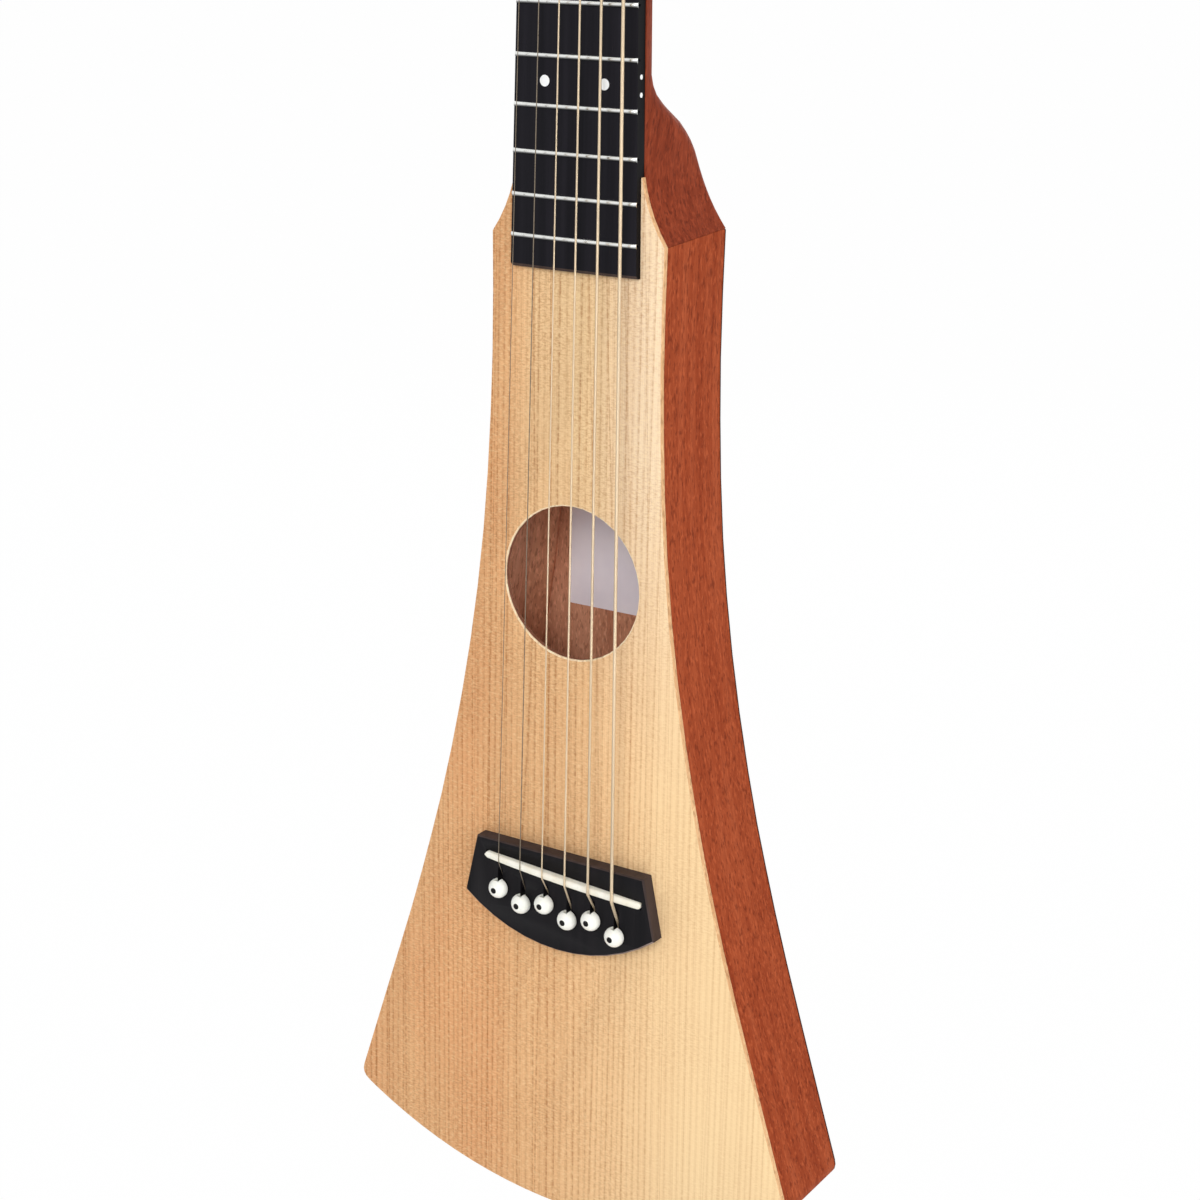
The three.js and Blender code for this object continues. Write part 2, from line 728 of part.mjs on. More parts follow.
function neck() {
  const rings = [...heelRings().reverse(), slimRing(heelStartBelowNut / 2), slimRing(0), ...headRings()];
  const blockEnd = down(shoulderBelowNut + neckBlockLength);
  const blockHalf = halfWidthOn(rimPath(sideThickness + glueLine), blockEnd);
  const heelBlock = block(
    vector(-blockHalf, 0, blockEnd),
    vector(blockHalf, rimDepth, down(shoulderBelowNut) + shoulderLean + overrun),
  );
  const holes = machinePlaces.map((place) => {
    const from = vector(place.x, -overrun, place.z);
    const to = vector(place.x, headThickness + overrun, place.z);
    return rod(from, to, postRadius + postClearance, postSegments).applyMatrix4(headFrame);
  });
  piece('neck', cut(join([loft(rings), heelBlock]), [tipCut(), ...holes]), 'mahogany');
}

// Fingerboard, frets and nut
const crownPlaces = (half) =>
  Array.from({ length: crownSteps + 1 }, (_, step) => half * ((2 * step) / crownSteps - 1));

function fingerboard() {
  const stations = [[0, 0], [fingerboardLength - boardEndBevel, 0], [fingerboardLength, boardEndBevel]];
  const rings = stations.map(([belowNut, lowered]) => {
    const half = boardHalfWidth(belowNut);
    const z = down(belowNut);
    const crown = crownPlaces(half).map((x) => vector(x, boardSurface(x) + lowered, z));
    return [vector(half, 0, z), vector(-half, 0, z), ...crown];
  });
  const slots = Array.from({ length: fretCount }, (_, i) => {
    const place = fretPlace(i + 1);
    const half = boardHalfWidth(place);
    const wide = fretTangWidth / 2 + fretSlotClearance;
    const bottom = boardSurface(half) + fretTangDepth + fretSlotClearance;
    return block(
      vector(-half - overrun, -fingerboardThickness - overrun, down(place) - wide),
      vector(half + overrun, bottom, down(place) + wide),
    );
  });
  piece('fingerboard', cut(loft(rings), slots), 'blackWood');
}

const crownCorners = 6;
function fret(number) {
  const place = fretPlace(number);
  const half = boardHalfWidth(place);
  const rings = [-half, ...crownPlaces(half - fretBevel), half].map((x) => {
    const share = Math.abs(x) === half ? fretEndShare : 1;
    const surface = boardSurface(x) - fretSeat;
    const crown = [
      [-fretCrownWidth / 2, 0],
      [-fretCrownWidth / 2, fretShoulderHeight * share],
      [(-fretCrownWidth * fretCrownTopShare) / 2, fretCrownHeight * share],
      [(fretCrownWidth * fretCrownTopShare) / 2, fretCrownHeight * share],
      [fretCrownWidth / 2, fretShoulderHeight * share],
      [fretCrownWidth / 2, 0],
    ];
    const tang = [
      [fretTangWidth / 2, 0],
      [fretTangWidth / 2, -fretTangDepth],
      [-fretTangWidth / 2, -fretTangDepth],
      [-fretTangWidth / 2, 0],
    ];
    return [...crown, ...tang].map(([along, height]) => vector(x, surface - height, down(place) + along));
  });
  piece(`fret_${number}`, loft(rings, crownCorners), 'nickel');
}

// Where a string's middle lies at the nut's two edges
function nutPoints(index) {
  const x = stringShare(index) * nutStringSpread;
  const y = boardSurface(x) - nutSlotHeight - stringDiameters[index] / 2;
  return [vector(x, y, down(0)), vector(x, y + nutSlotSlope * nutThickness, headPivot)];
}

function nutSlot(index) {
  const [start, end] = nutPoints(index);
  const along = end.clone().sub(start).setLength(overrun);
  const radius = stringDiameters[index] / 2 + stringClearance;
  const above = nutRise + fingerboardThickness;
  return loft([start.sub(along), end.add(along)].map((centre) => {
    const under = Array.from({ length: slotSteps + 1 }, (_, step) => {
      const turn = (Math.PI * step) / slotSteps;
      return centre.clone().add(vector(radius * Math.cos(turn), radius * Math.sin(turn), 0));
    });
    const open = [-radius, radius].map((x) => centre.clone().add(vector(x, -above, 0)));
    return [...under, ...open];
  }));
}

function nut() {
  const section = (x) => {
    const top = boardSurface(x) - nutRise;
    return [
      vector(x, 0, down(0) + glueLine),
      vector(x, top, down(0) + glueLine),
      vector(x, top, headPivot - nutCornerCut),
      vector(x, top + nutCornerCut, headPivot),
      vector(x, 0, headPivot),
    ];
  };
  const blank = loft(crownPlaces(nutWidth / 2).map(section));
  piece('nut', cut(blank, stringDiameters.map((_, index) => nutSlot(index))), 'ivory');
}

// Bridge
// The bridge's outline drawn in by an inset all round
function bridgeRing(y, inset) {
  const lowerHalf = bridgeLowerHalfWidth - inset;
  const corner = down(bridgeCornerBelowNut) + inset;
  const sag = bridgeBottomBelowNut - bridgeCornerBelowNut;
  const radius = (lowerHalf ** 2 + sag ** 2) / (2 * sag);
  const widest = Math.asin(lowerHalf / radius);
  const arc = Array.from({ length: bridgeArcSteps + 1 }, (_, step) => {
    const angle = widest * (1 - (2 * step) / bridgeArcSteps);
    return vector(radius * Math.sin(angle), y, corner - radius * (Math.cos(angle) - Math.cos(widest)));
  });
  const upperHalf = bridgeTopHalfWidth - inset;
  const top = down(bridgeTopBelowNut) - inset;
  return [vector(-upperHalf, y, top), vector(upperHalf, y, top), ...arc];
}

const stringRadius = (index) => stringDiameters[index] / 2;
// How far a string stands from its pin's middle inside the pin hole
const stringInHole = (index) => pinHoleRadius - stringClearance - stringRadius(index);

// A string bends at the back edge of the saddle's flat crest
function saddlePoint(index) {
  const x = stringShare(index) * saddleStringSpread;
  const crest = boardSurface(x) - saddleCrestAboveBoard;
  const z = down(saddleBelowNut(x)) - saddleThickness * saddleCrestShare / 2;
  return vector(x, crest - stringRadius(index) - stringClearance, z);
}

function rampEnd(index) {
  const { x, z } = pinPlaces[index];
  return vector(x, bridgeFace + rampDepth, z + stringInHole(index));
}

// The sloping slot that leads a string from the saddle down into its pin hole
function stringRamp(index) {
  const { x, z } = pinPlaces[index];
  const end = rampEnd(index);
  const crest = saddlePoint(index);
  const under = stringRadius(index) + 2 * stringClearance;
  const section = (across) => [
    vector(across, crest.y, z),
    vector(across, end.y + under, z),
    vector(across, end.y + under, end.z),
    vector(across, crest.y + under, crest.z),
    vector(across, crest.y, crest.z),
  ];
  return loft([x - rampWidth / 2, x + rampWidth / 2].map(section));
}

const saddleTurn = Math.atan(saddleSlant);
function saddleSlot() {
  const half = saddleLength / 2 + saddleFit;
  const wide = saddleThickness / 2 + saddleFit;
  const low = vector(-half, bridgeFace - overrun, -wide);
  const high = vector(half, bridgeFace + saddleDepth, wide);
  return block(low, high).rotateY(saddleTurn).translate(saddleOffset, 0, down(saddleBelowNut(saddleOffset)));
}

function bridge() {
  const wallTop = -topThickness - bridgeWall;
  const blank = loft([
    bridgeRing(-topThickness, 0),
    bridgeRing(wallTop, 0),
    bridgeRing(bridgeFace, bridgeBevel),
  ]);
  const ramps = stringDiameters.map((_, index) => stringRamp(index));
  piece('bridge', cut(blank, [saddleSlot(), ...pinPlaces.map(pinHole), ...ramps]), 'blackWood');
}

function bridgePlate() {
  const rings = [0, bridgePlateThickness].map((y) => bridgeRing(y, -bridgePlateOverlap));
  piece('bridge_plate', cut(loft(rings), pinPlaces.map(pinHole)), 'mahogany');
}

function saddle() {
  const half = saddleLength / 2;
  const inner = half - saddleThickness / 2;
  const stations = [-half, ...crownPlaces(inner), half];
  const rings = stations.map((x) => {
    const wide = (saddleThickness / 2) * (Math.abs(x) === half ? saddleEndShare : 1);
    const crest = boardSurface(x + saddleOffset) - saddleCrestAboveBoard;
    const foot = bridgeFace + saddleDepth - restGap;
    return [
      vector(x, foot, -wide),
      vector(x, crest + saddleCrestCut, -wide),
      vector(x, crest, -wide * saddleCrestShare),
      vector(x, crest, wide * saddleCrestShare),
      vector(x, crest + saddleCrestCut, wide),
      vector(x, foot, wide),
    ];
  });
  const mesh = piece('saddle', loft(rings), 'ivory');
  mesh.position.set(saddleOffset, 0, down(saddleBelowNut(saddleOffset)));
  mesh.rotation.y = saddleTurn;
}

// A revolved solid about its own Y axis
function turned(profile, segments) {
  const points = profile.map(([radius, along]) => new THREE.Vector2(radius, along));
  const geometry = new THREE.LatheGeometry(points, segments);
  geometry.deleteAttribute('normal');
  geometry.deleteAttribute('uv');
  return facingOut(mergeVertices(geometry));
}

function bridgePin(index) {
  const shank = pinHoleRadius - pinClearance;
  const tip = bridgePlateThickness + pinBelowPlate;
  const seat = bridgeFace - restGap;
  const dome = Array.from({ length: pinHeadSteps }, (_, step) => {
    const turn = (Math.PI / 2) * ((step + 1) / pinHeadSteps);
    const height = (pinHeadHeight - pinCollarHeight) * Math.sin(turn);
    return [pinHeadRadius * Math.cos(turn), seat - pinCollarHeight - height];
  });
  dome[dome.length - 1][0] = 0;
  const profile = [
    [0, tip],
    [pinTipRadius, tip],
    [shank, seat],
    [pinCollarRadius, seat],
    [pinCollarRadius, seat - pinCollarHeight / 2],
    [pinHeadRadius, seat - pinCollarHeight],
    ...dome,
  ];
  const groove = block(
    vector(-pinGrooveWidth / 2, seat - pinNotchHeight, shank - pinGrooveDepth),
    vector(pinGrooveWidth / 2, tip + overrun, pinHeadRadius + overrun),
  );
  const mesh = piece(`bridge_pin_${index + 1}`, cut(turned(profile, pinSegments), [groove]), 'ivory');
  mesh.position.set(pinPlaces[index].x, 0, pinPlaces[index].z);
}

// Tuning machines, built in the headstock's own frame
const headGroup = new THREE.Group();
headGroup.position.set(0, 0, headPivot);
headGroup.rotation.x = -headTilt;
guitar.add(headGroup);

const plateFloor = headThickness + seatGap;
const plateBack = plateFloor + plateThickness;
const pitchRadius = (wormPitch * wheelTeeth) / (2 * Math.PI);
const wheelRadius = pitchRadius + toothDepth / 2;
const wheelRootRadius = pitchRadius - toothDepth / 2;
const wormOffset = wheelRadius + wormRadius - wormMesh;
const wormDepth = plateBack + wormAboveFloor + wormRadius;
const wheelFront = wormDepth - wheelThickness / 2;
const wheelBack = wormDepth + wheelThickness / 2;
const wormHalfLength = ((wormTurns + 1) * wormPitch) / 2;
const earStart = wormHalfLength + earGap;
const earEnd = earStart + earThickness;
const shaftEnd = earEnd + earGap;
const buttonStart = headShoulderHalfWidth - postInset + buttonGap;

// One side's base plate, with two bearing ears for each worm
function machinePlate(name, hand) {
  const places = machinePlaces.filter((place) => place.hand === hand);
  const heights = places.map((place) => place.z);
  const middle = hand * postInset;
  const strip = block(
    vector(middle - plateWidth / 2, plateFloor, Math.min(...heights) - plateEnd),
    vector(middle + plateWidth / 2, plateBack, Math.max(...heights) + wormOffset + platePastWorm),
  );
  const ears = places.flatMap((place) => [-earEnd, earStart].flatMap((start) => {
    const axis = place.z + wormOffset;
    const inner = vector(middle + start, wormDepth, axis);
    const outer = vector(middle + start + earThickness, wormDepth, axis);
    const stem = block(
      vector(inner.x, plateBack - plateThickness / 2, axis - earWidth / 2),
      vector(outer.x, wormDepth, axis + earWidth / 2),
    );
    return [stem, rod(inner, outer, earWidth / 2, postSegments)];
  }));
  const bores = places.flatMap((place) => {
    const axis = place.z + wormOffset;
    const postHole = rod(
      vector(place.x, plateFloor - overrun, place.z),
      vector(place.x, plateBack + overrun, place.z),
      postRadius + postClearance,
      postSegments,
    );
    const shaftHole = rod(
      vector(middle - earEnd - overrun, wormDepth, axis),
      vector(middle + earEnd + overrun, wormDepth, axis),
      shaftRadius + shaftClearance,
      boreSegments,
    );
    return [postHole, shaftHole];
  });
  piece(name, cut(join([strip, ...ears]), bores), 'nickel', headGroup);
}

// The wheel on a post: its teeth lean with the worm's thread and leave a gap facing the worm
function wormWheel() {
  const outline = [];
  for (let tooth = 0; tooth < wheelTeeth; tooth += 1) {
    const pitchAngle = (2 * Math.PI) / wheelTeeth;
    const middle = (tooth + 1 / 2) * pitchAngle;
    const root = (toothRootShare * pitchAngle) / 2;
    const tip = (toothTipShare * pitchAngle) / 2;
    const corners = [
      [wheelRootRadius, middle - root],
      [wheelRadius, middle - tip],
      [wheelRadius, middle + tip],
      [wheelRootRadius, middle + root],
    ];
    outline.push(...corners);
  }
  const wormMiddleRadius = (wormRadius + wormRootRadius) / 2;
  const lean = wormPitch / (2 * Math.PI * wormMiddleRadius * pitchRadius);
  const rings = [wheelFront, wheelBack].map((depth) => outline.map(([radius, angle]) => {
    const turn = angle + lean * (depth - wormDepth);
    return vector(radius * Math.sin(turn), depth, radius * Math.cos(turn));
  }));
  return loft(rings);
}

// Where a string's winding starts and ends on its post, in the headstock's frame
function winding(index) {
  const place = machinePlaces[index];
  const radius = postWaistRadius + windingClearance + stringRadius(index);
  const pitch = stringDiameters[index] + windingGap;
  const start = nutPoints(index)[1].applyMatrix4(headFrame.clone().invert());
  const reach = Math.hypot(start.x - place.x, start.z - place.z);
  const bearing = Math.atan2(start.z - place.z, start.x - place.x);
  const tangent = bearing - place.hand * Math.acos(radius / reach);
  const points = [];
  const count = Math.round(windingTurns * windingSteps);
  for (let step = 0; step <= count; step += 1) {
    const turns = step / windingSteps;
    const angle = tangent - place.hand * 2 * Math.PI * turns;
    const height = postHoleHeight - (windingTurns - turns) * pitch;
    points.push(vector(place.x + radius * Math.cos(angle), -height, place.z + radius * Math.sin(angle)));
  }
  return { points, endAngle: tangent - place.hand * 2 * Math.PI * windingTurns };
}

function stringPost(index) {
  const place = machinePlaces[index];
  const waistStart = -postWaistStart;
  const waistEnd = -postWaistEnd;
  const top = -postAboveHead;
  const taper = postRadius - postWaistRadius;
  const post = turned([
    [0, wheelFront + taper],
    [postRadius, wheelFront + taper],
    [postRadius, waistStart],
    [postWaistRadius, waistStart - taper],
    [postWaistRadius, waistEnd],
    [postRadius, waistEnd - taper],
    [postRadius, top + taper],
    [postWaistRadius, top],
    [0, top],
  ], postSegments);
  const screw = rod(
    vector(0, wheelBack - taper, 0),
    vector(0, wheelBack + wheelScrewHeight, 0),
    wheelScrewRadius,
    boreSegments,
  );
  const { endAngle } = winding(index);
  const mouth = vector(Math.cos(endAngle), 0, Math.sin(endAngle)).multiplyScalar(postRadius + overrun);
  const stringHole = rod(mouth.clone().negate(), mouth, postHoleRadius, holeSegments);
  stringHole.translate(0, -postHoleHeight, 0);
  const whole = cut(join([post, wormWheel(), screw]), [stringHole]);
  const mesh = piece(`string_post_${index + 1}`, whole, 'nickel', headGroup);
  mesh.position.set(place.x, 0, place.z);
}

// The worm's thread: a ridge that winds along the shaft and fades out at both ends
function wormThread() {
  const steps = wormTurns * wormSides;
  const rings = Array.from({ length: steps + 1 }, (_, step) => {
    const turns = step / wormSides - wormTurns / 2;
    const angle = 2 * Math.PI * turns - Math.PI / 2;
    const fade = Math.min(1, (wormTurns / 2 - Math.abs(turns)) / wormFadeShare);
    const outer = THREE.MathUtils.lerp(wormRootRadius, wormRadius, fade);
    const inner = wormRootRadius - wormEmbed;
    const point = (along, radius) => vector(
      turns * wormPitch + (along * wormPitch) / 2,
      radius * Math.cos(angle),
      radius * Math.sin(angle),
    );
    return [
      point(-wormRootShare, inner),
      point(-wormTipShare, outer),
      point(wormTipShare, outer),
      point(wormRootShare, inner),
    ];
  });
  return loft(rings);
}

function buttonShaft(index) {
  const place = machinePlaces[index];
  const onAxis = (from, to, radius, segments) =>
    rod(vector(place.hand * from, 0, 0), vector(place.hand * to, 0, 0), radius, segments);
  const shaft = onAxis(-shaftEnd, buttonStart + buttonCollarLength, shaftRadius, boreSegments);
  const core = rod(vector(-wormHalfLength, 0, 0), vector(wormHalfLength, 0, 0), wormRootRadius, boreSegments);
  const collar = onAxis(buttonStart, buttonStart + buttonCollarLength, buttonCollarRadius, boreSegments);
  const paddle = turned(buttonShares.map(([along, width]) =>
    [(width * buttonWidth) / 2, along * buttonLength]), buttonSegments);
  paddle.scale(1, 1, buttonThickness / buttonWidth);
  paddle.rotateZ((-place.hand * Math.PI) / 2);
  paddle.rotateX(Math.PI / 2);
  paddle.translate(place.hand * (buttonStart + buttonCollarLength - overrun), 0, 0);
  const whole = join([shaft, core, wormThread(), collar, paddle]);
  const mesh = piece(`tuning_button_${index + 1}`, whole, 'nickel', headGroup);
  mesh.position.set(place.x, wormDepth, place.z + wormOffset);
}

// Strings: ball end, pin hole, saddle, nut and the winding on the post
function string(index) {
  const { x, z } = pinPlaces[index];
  const radius = stringRadius(index);
  const ball = vector(x, bridgePlateThickness + seatGap + ballRadius, z + ballOffset);
  const wound = winding(index).points.map((point) => point.applyMatrix4(headFrame));
  const [nutStart, nutEnd] = nutPoints(index);
  const route = [
    ball,
    vector(x, bridgePlateThickness + stringBelowPlate, z + stringInHole(index)),
    rampEnd(index),
    saddlePoint(index),
    nutStart,
    nutEnd,
    ...wound,
  ];
  const ballEnd = new THREE.SphereGeometry(ballRadius, ballSegments, ballRings);
  ballEnd.translate(ball.x, ball.y, ball.z);
  const cord = cordThrough(route, radius, stringSides);
  const finish = stringDiameters[index] < woundFrom ? 'steel' : 'bronze';
  piece(`string_${index + 1}`, join([cord, ballEnd]), finish);
}

// The least gap from a string's lead and turns to its own later turns, half a turn or more along
function windingLeastGap(index) {
  const [, lead] = nutPoints(index);
  const start = lead.applyMatrix4(headFrame.clone().invert());
  const corners = [start, ...winding(index).points];
  const places = corners.slice(1).flatMap((corner, i) =>
    Array.from({ length: windingChecks }, (_, step) => corners[i].clone().lerp(corner, step / windingChecks)));
  const apart = (windingSteps / 2) * windingChecks;
  let least = Infinity;
  places.forEach((place, i) => {
    places.slice(i + apart).forEach((other) => {
      least = Math.min(least, place.distanceTo(other));
    });
  });
  return least - stringDiameters[index];
}

// Strap button
function strapButton() {
  const face = -restGap;
  const collarEnd = face - strapCollarThickness;
  const waistEnd = collarEnd - strapWaistLength;
  const headEnd = waistEnd - strapHeadThickness;
  const solid = turned([
    [0, strapPegLength],
    [strapPegRadius - strapEdge, strapPegLength],
    [strapPegRadius, strapPegLength - strapEdge],
    [strapPegRadius, face],
    [strapCollarRadius, face],
    [strapCollarRadius, collarEnd + strapEdge],
    [strapWaistRadius, collarEnd],
    [strapWaistRadius, waistEnd],
    [strapHeadRadius, waistEnd - strapEdge],
    [strapHeadRadius, headEnd + strapEdge],
    [strapHeadRadius - strapEdge, headEnd],
    [0, headEnd],
  ], strapSegments);
  const mesh = piece('strap_button', solid, 'blackWood');
  mesh.position.set(0, strapAxisDepth, down(tailBelowNut));
  mesh.rotation.x = Math.PI / 2;
}

function body() {
  topPlate();
  backPlate();
  sides();
  linings();
  tailBlock();
  brace('upper_brace', soundHoleBelowNut - upperBraceAboveHole);
  brace('lower_brace', soundHoleBelowNut + lowerBraceBelowHole);
}

body();
neck();
fingerboard();
for (let number = 1; number <= fretCount; number += 1) fret(number);
nut();
bridge();
bridgePlate();
saddle();
stringDiameters.forEach((_, index) => bridgePin(index));
machinePlate('tuner_plate_left', -1);
machinePlate('tuner_plate_right', 1);
stringDiameters.forEach((_, index) => stringPost(index));
stringDiameters.forEach((_, index) => buttonShaft(index));
stringDiameters.forEach((_, index) => string(index));
strapButton();

const windingGaps = stringDiameters.map((_, index) => windingLeastGap(index).toFixed(3));
console.log(`Least gap between the turns of each string winding, in mm: ${windingGaps.join(', ')}`);

export default guitar;
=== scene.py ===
"""A travel guitar in plain studio light: its finishes, smooth skins and small trim."""
import json
import math

import bmesh
import bpy
from mathutils import Matrix, Vector

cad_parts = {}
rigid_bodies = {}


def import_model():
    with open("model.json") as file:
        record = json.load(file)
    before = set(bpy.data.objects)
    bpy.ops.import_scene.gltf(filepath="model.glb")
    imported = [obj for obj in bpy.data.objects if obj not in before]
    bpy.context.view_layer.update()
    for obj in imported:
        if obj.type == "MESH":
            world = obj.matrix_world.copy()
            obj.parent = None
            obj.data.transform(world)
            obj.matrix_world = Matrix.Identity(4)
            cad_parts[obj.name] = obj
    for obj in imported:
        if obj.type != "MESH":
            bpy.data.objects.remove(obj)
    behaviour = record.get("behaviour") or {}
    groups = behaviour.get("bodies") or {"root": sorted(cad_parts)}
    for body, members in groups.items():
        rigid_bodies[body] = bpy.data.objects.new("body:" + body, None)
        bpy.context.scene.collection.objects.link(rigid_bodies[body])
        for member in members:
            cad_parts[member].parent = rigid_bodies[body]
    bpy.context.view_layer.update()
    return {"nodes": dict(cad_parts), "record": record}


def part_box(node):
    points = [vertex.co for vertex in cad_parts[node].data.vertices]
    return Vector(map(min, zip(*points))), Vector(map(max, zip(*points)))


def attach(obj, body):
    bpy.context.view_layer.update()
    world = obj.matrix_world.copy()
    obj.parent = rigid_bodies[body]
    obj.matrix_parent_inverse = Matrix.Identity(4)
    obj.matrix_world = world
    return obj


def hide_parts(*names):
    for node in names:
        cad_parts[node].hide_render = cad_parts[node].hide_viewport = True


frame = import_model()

MM = 0.001

# Sizes shared with the solids, with lengths in millimetres and angles in radians
# Strings, fingerboard and nut
SCALE_LENGTH = 609.6
OCTAVE = 12
FRETS = 15
STRINGS = (0.3, 0.41, 0.61, 0.81, 1.07, 1.35)
PLAIN_STRINGS = 2
NUT_STRING_SPREAD = 37.6
SADDLE_STRING_SPREAD = 55.2
STRING_CLEARANCE = 0.15
HANGER_ABOVE_NUT = 14
NUT_WIDTH = 43
NUT_THICKNESS = 5
NUT_SLOT_HEIGHT = 1.4
NUT_SLOT_SLOPE = 0.12
OCTAVE_WIDTH = 54
BOARD_THICKNESS = 6
CROWN_RADIUS = 406
FRET_BEVEL = 0.9
FRET_END_SHARE = 0.35

# Body
TOP_THICKNESS = 2.4
RIM_DEPTH = 41.1
SOUND_HOLE_BELOW_NUT = 487.8
SOUND_HOLE_RADIUS = 31

# Bridge, saddle and pins
BRIDGE_THICKNESS = 6.4
BRIDGE_FACE = -TOP_THICKNESS - BRIDGE_THICKNESS
BRIDGE_ABOVE_SADDLE = 8.3
BRIDGE_CORNER_BELOW_SADDLE = 17.4
BRIDGE_BOTTOM_BELOW_SADDLE = 33.1
BRIDGE_TOP_HALF_WIDTH = 40.2
BRIDGE_LOWER_HALF_WIDTH = 45.8
BRIDGE_PLATE_THICKNESS = 2.2
SADDLE_SLANT = 0.0615
SADDLE_SET_BACK = 0.75
SADDLE_OFFSET = 2.2
SADDLE_LENGTH = 75
SADDLE_THICKNESS = 3
SADDLE_CREST_ABOVE_BOARD = 5.8
SADDLE_CREST_SHARE = 0.5
PIN_SPREAD = 56.5
PINS_BELOW_SADDLE = (13, 16.4)
PIN_HOLE = 2.7
PIN_BELOW_PLATE = 4
STRING_RAMP_DEPTH = 3
STRING_BELOW_PLATE = 0.9
BALL_RADIUS = 1.9
BALL_OFFSET = 4.6
SEAT_GAP = 0.3
REST_GAP = 0.05

# Headstock and tuning machines
HEAD_TILT = math.radians(12)
HEAD_PIVOT = -9
HEAD_SHOULDER_HALF_WIDTH = 32
MACHINES_PER_SIDE = 3
POST_INSET = 19.5
FIRST_MACHINE = 25
MACHINE_SPACING = 34
PLATE_BACK = 15.5
WORM_OFFSET = 7.952
POST_WAIST_RADIUS = 2.5
POST_HOLE_HEIGHT = 8.2
WINDING_CLEARANCE = 0.3
WINDING_GAP = 0.46
WINDING_TURNS = 2.2
WINDING_STEPS = 30
BUTTON_GAP = 5.5
BUTTON_COLLAR = 2.6
BUTTON_LENGTH = 14
BUTTON_OVERLAP = 1

HEAD = Matrix.Translation((0, 0, HEAD_PIVOT)) @ Matrix.Rotation(-HEAD_TILT, 4, "X")


def fret_place(number):
    return SCALE_LENGTH * (1 - 2 ** (-number / OCTAVE))


def down(below_nut):
    return -(HANGER_ABOVE_NUT + below_nut)


def board_half_width(below_nut):
    return (NUT_WIDTH + (OCTAVE_WIDTH - NUT_WIDTH) * below_nut / fret_place(OCTAVE)) / 2


def crown_drop(x):
    return CROWN_RADIUS - math.sqrt(CROWN_RADIUS ** 2 - x ** 2)


def board_surface(x):
    return crown_drop(x) - BOARD_THICKNESS


def in_metres(matrix):
    """The same frame with its place in metres."""
    scaled = matrix.copy()
    scaled.translation = matrix.translation * MM
    return scaled


def machine_place(index):
    """A machine's side as -1 or 1, and its post's x and z on the headstock."""
    hand = -1 if index < MACHINES_PER_SIDE else 1
    row = min(index, len(STRINGS) - 1 - index)
    return hand, hand * POST_INSET, FIRST_MACHINE + row * MACHINE_SPACING


def placed(name, data):
    """A new object in the scene for a mesh, a light or a camera."""
    thing = bpy.data.objects.new(name, data)
    bpy.context.scene.collection.objects.link(thing)
    return thing


def finished_mesh(piece):
    """A piece's mesh as its modifiers leave it."""
    return bpy.data.meshes.new_from_object(piece.evaluated_get(bpy.context.evaluated_depsgraph_get()))


# Finishes


def display(red, green, blue):
    """A colour in 0 to 255 display values as the linear colour that a shader takes."""
    values = [v / 255 for v in (red, green, blue)]
    linear = [v / 12.92 if v <= 0.04045 else ((v + 0.055) / 1.055) ** 2.4 for v in values]
    return (*linear, 1.0)


def shaded(colour, share):
    """A linear colour made darker or paler, no further than white."""
    return (*(min(1.0, share * value) for value in colour[:3]), 1.0)


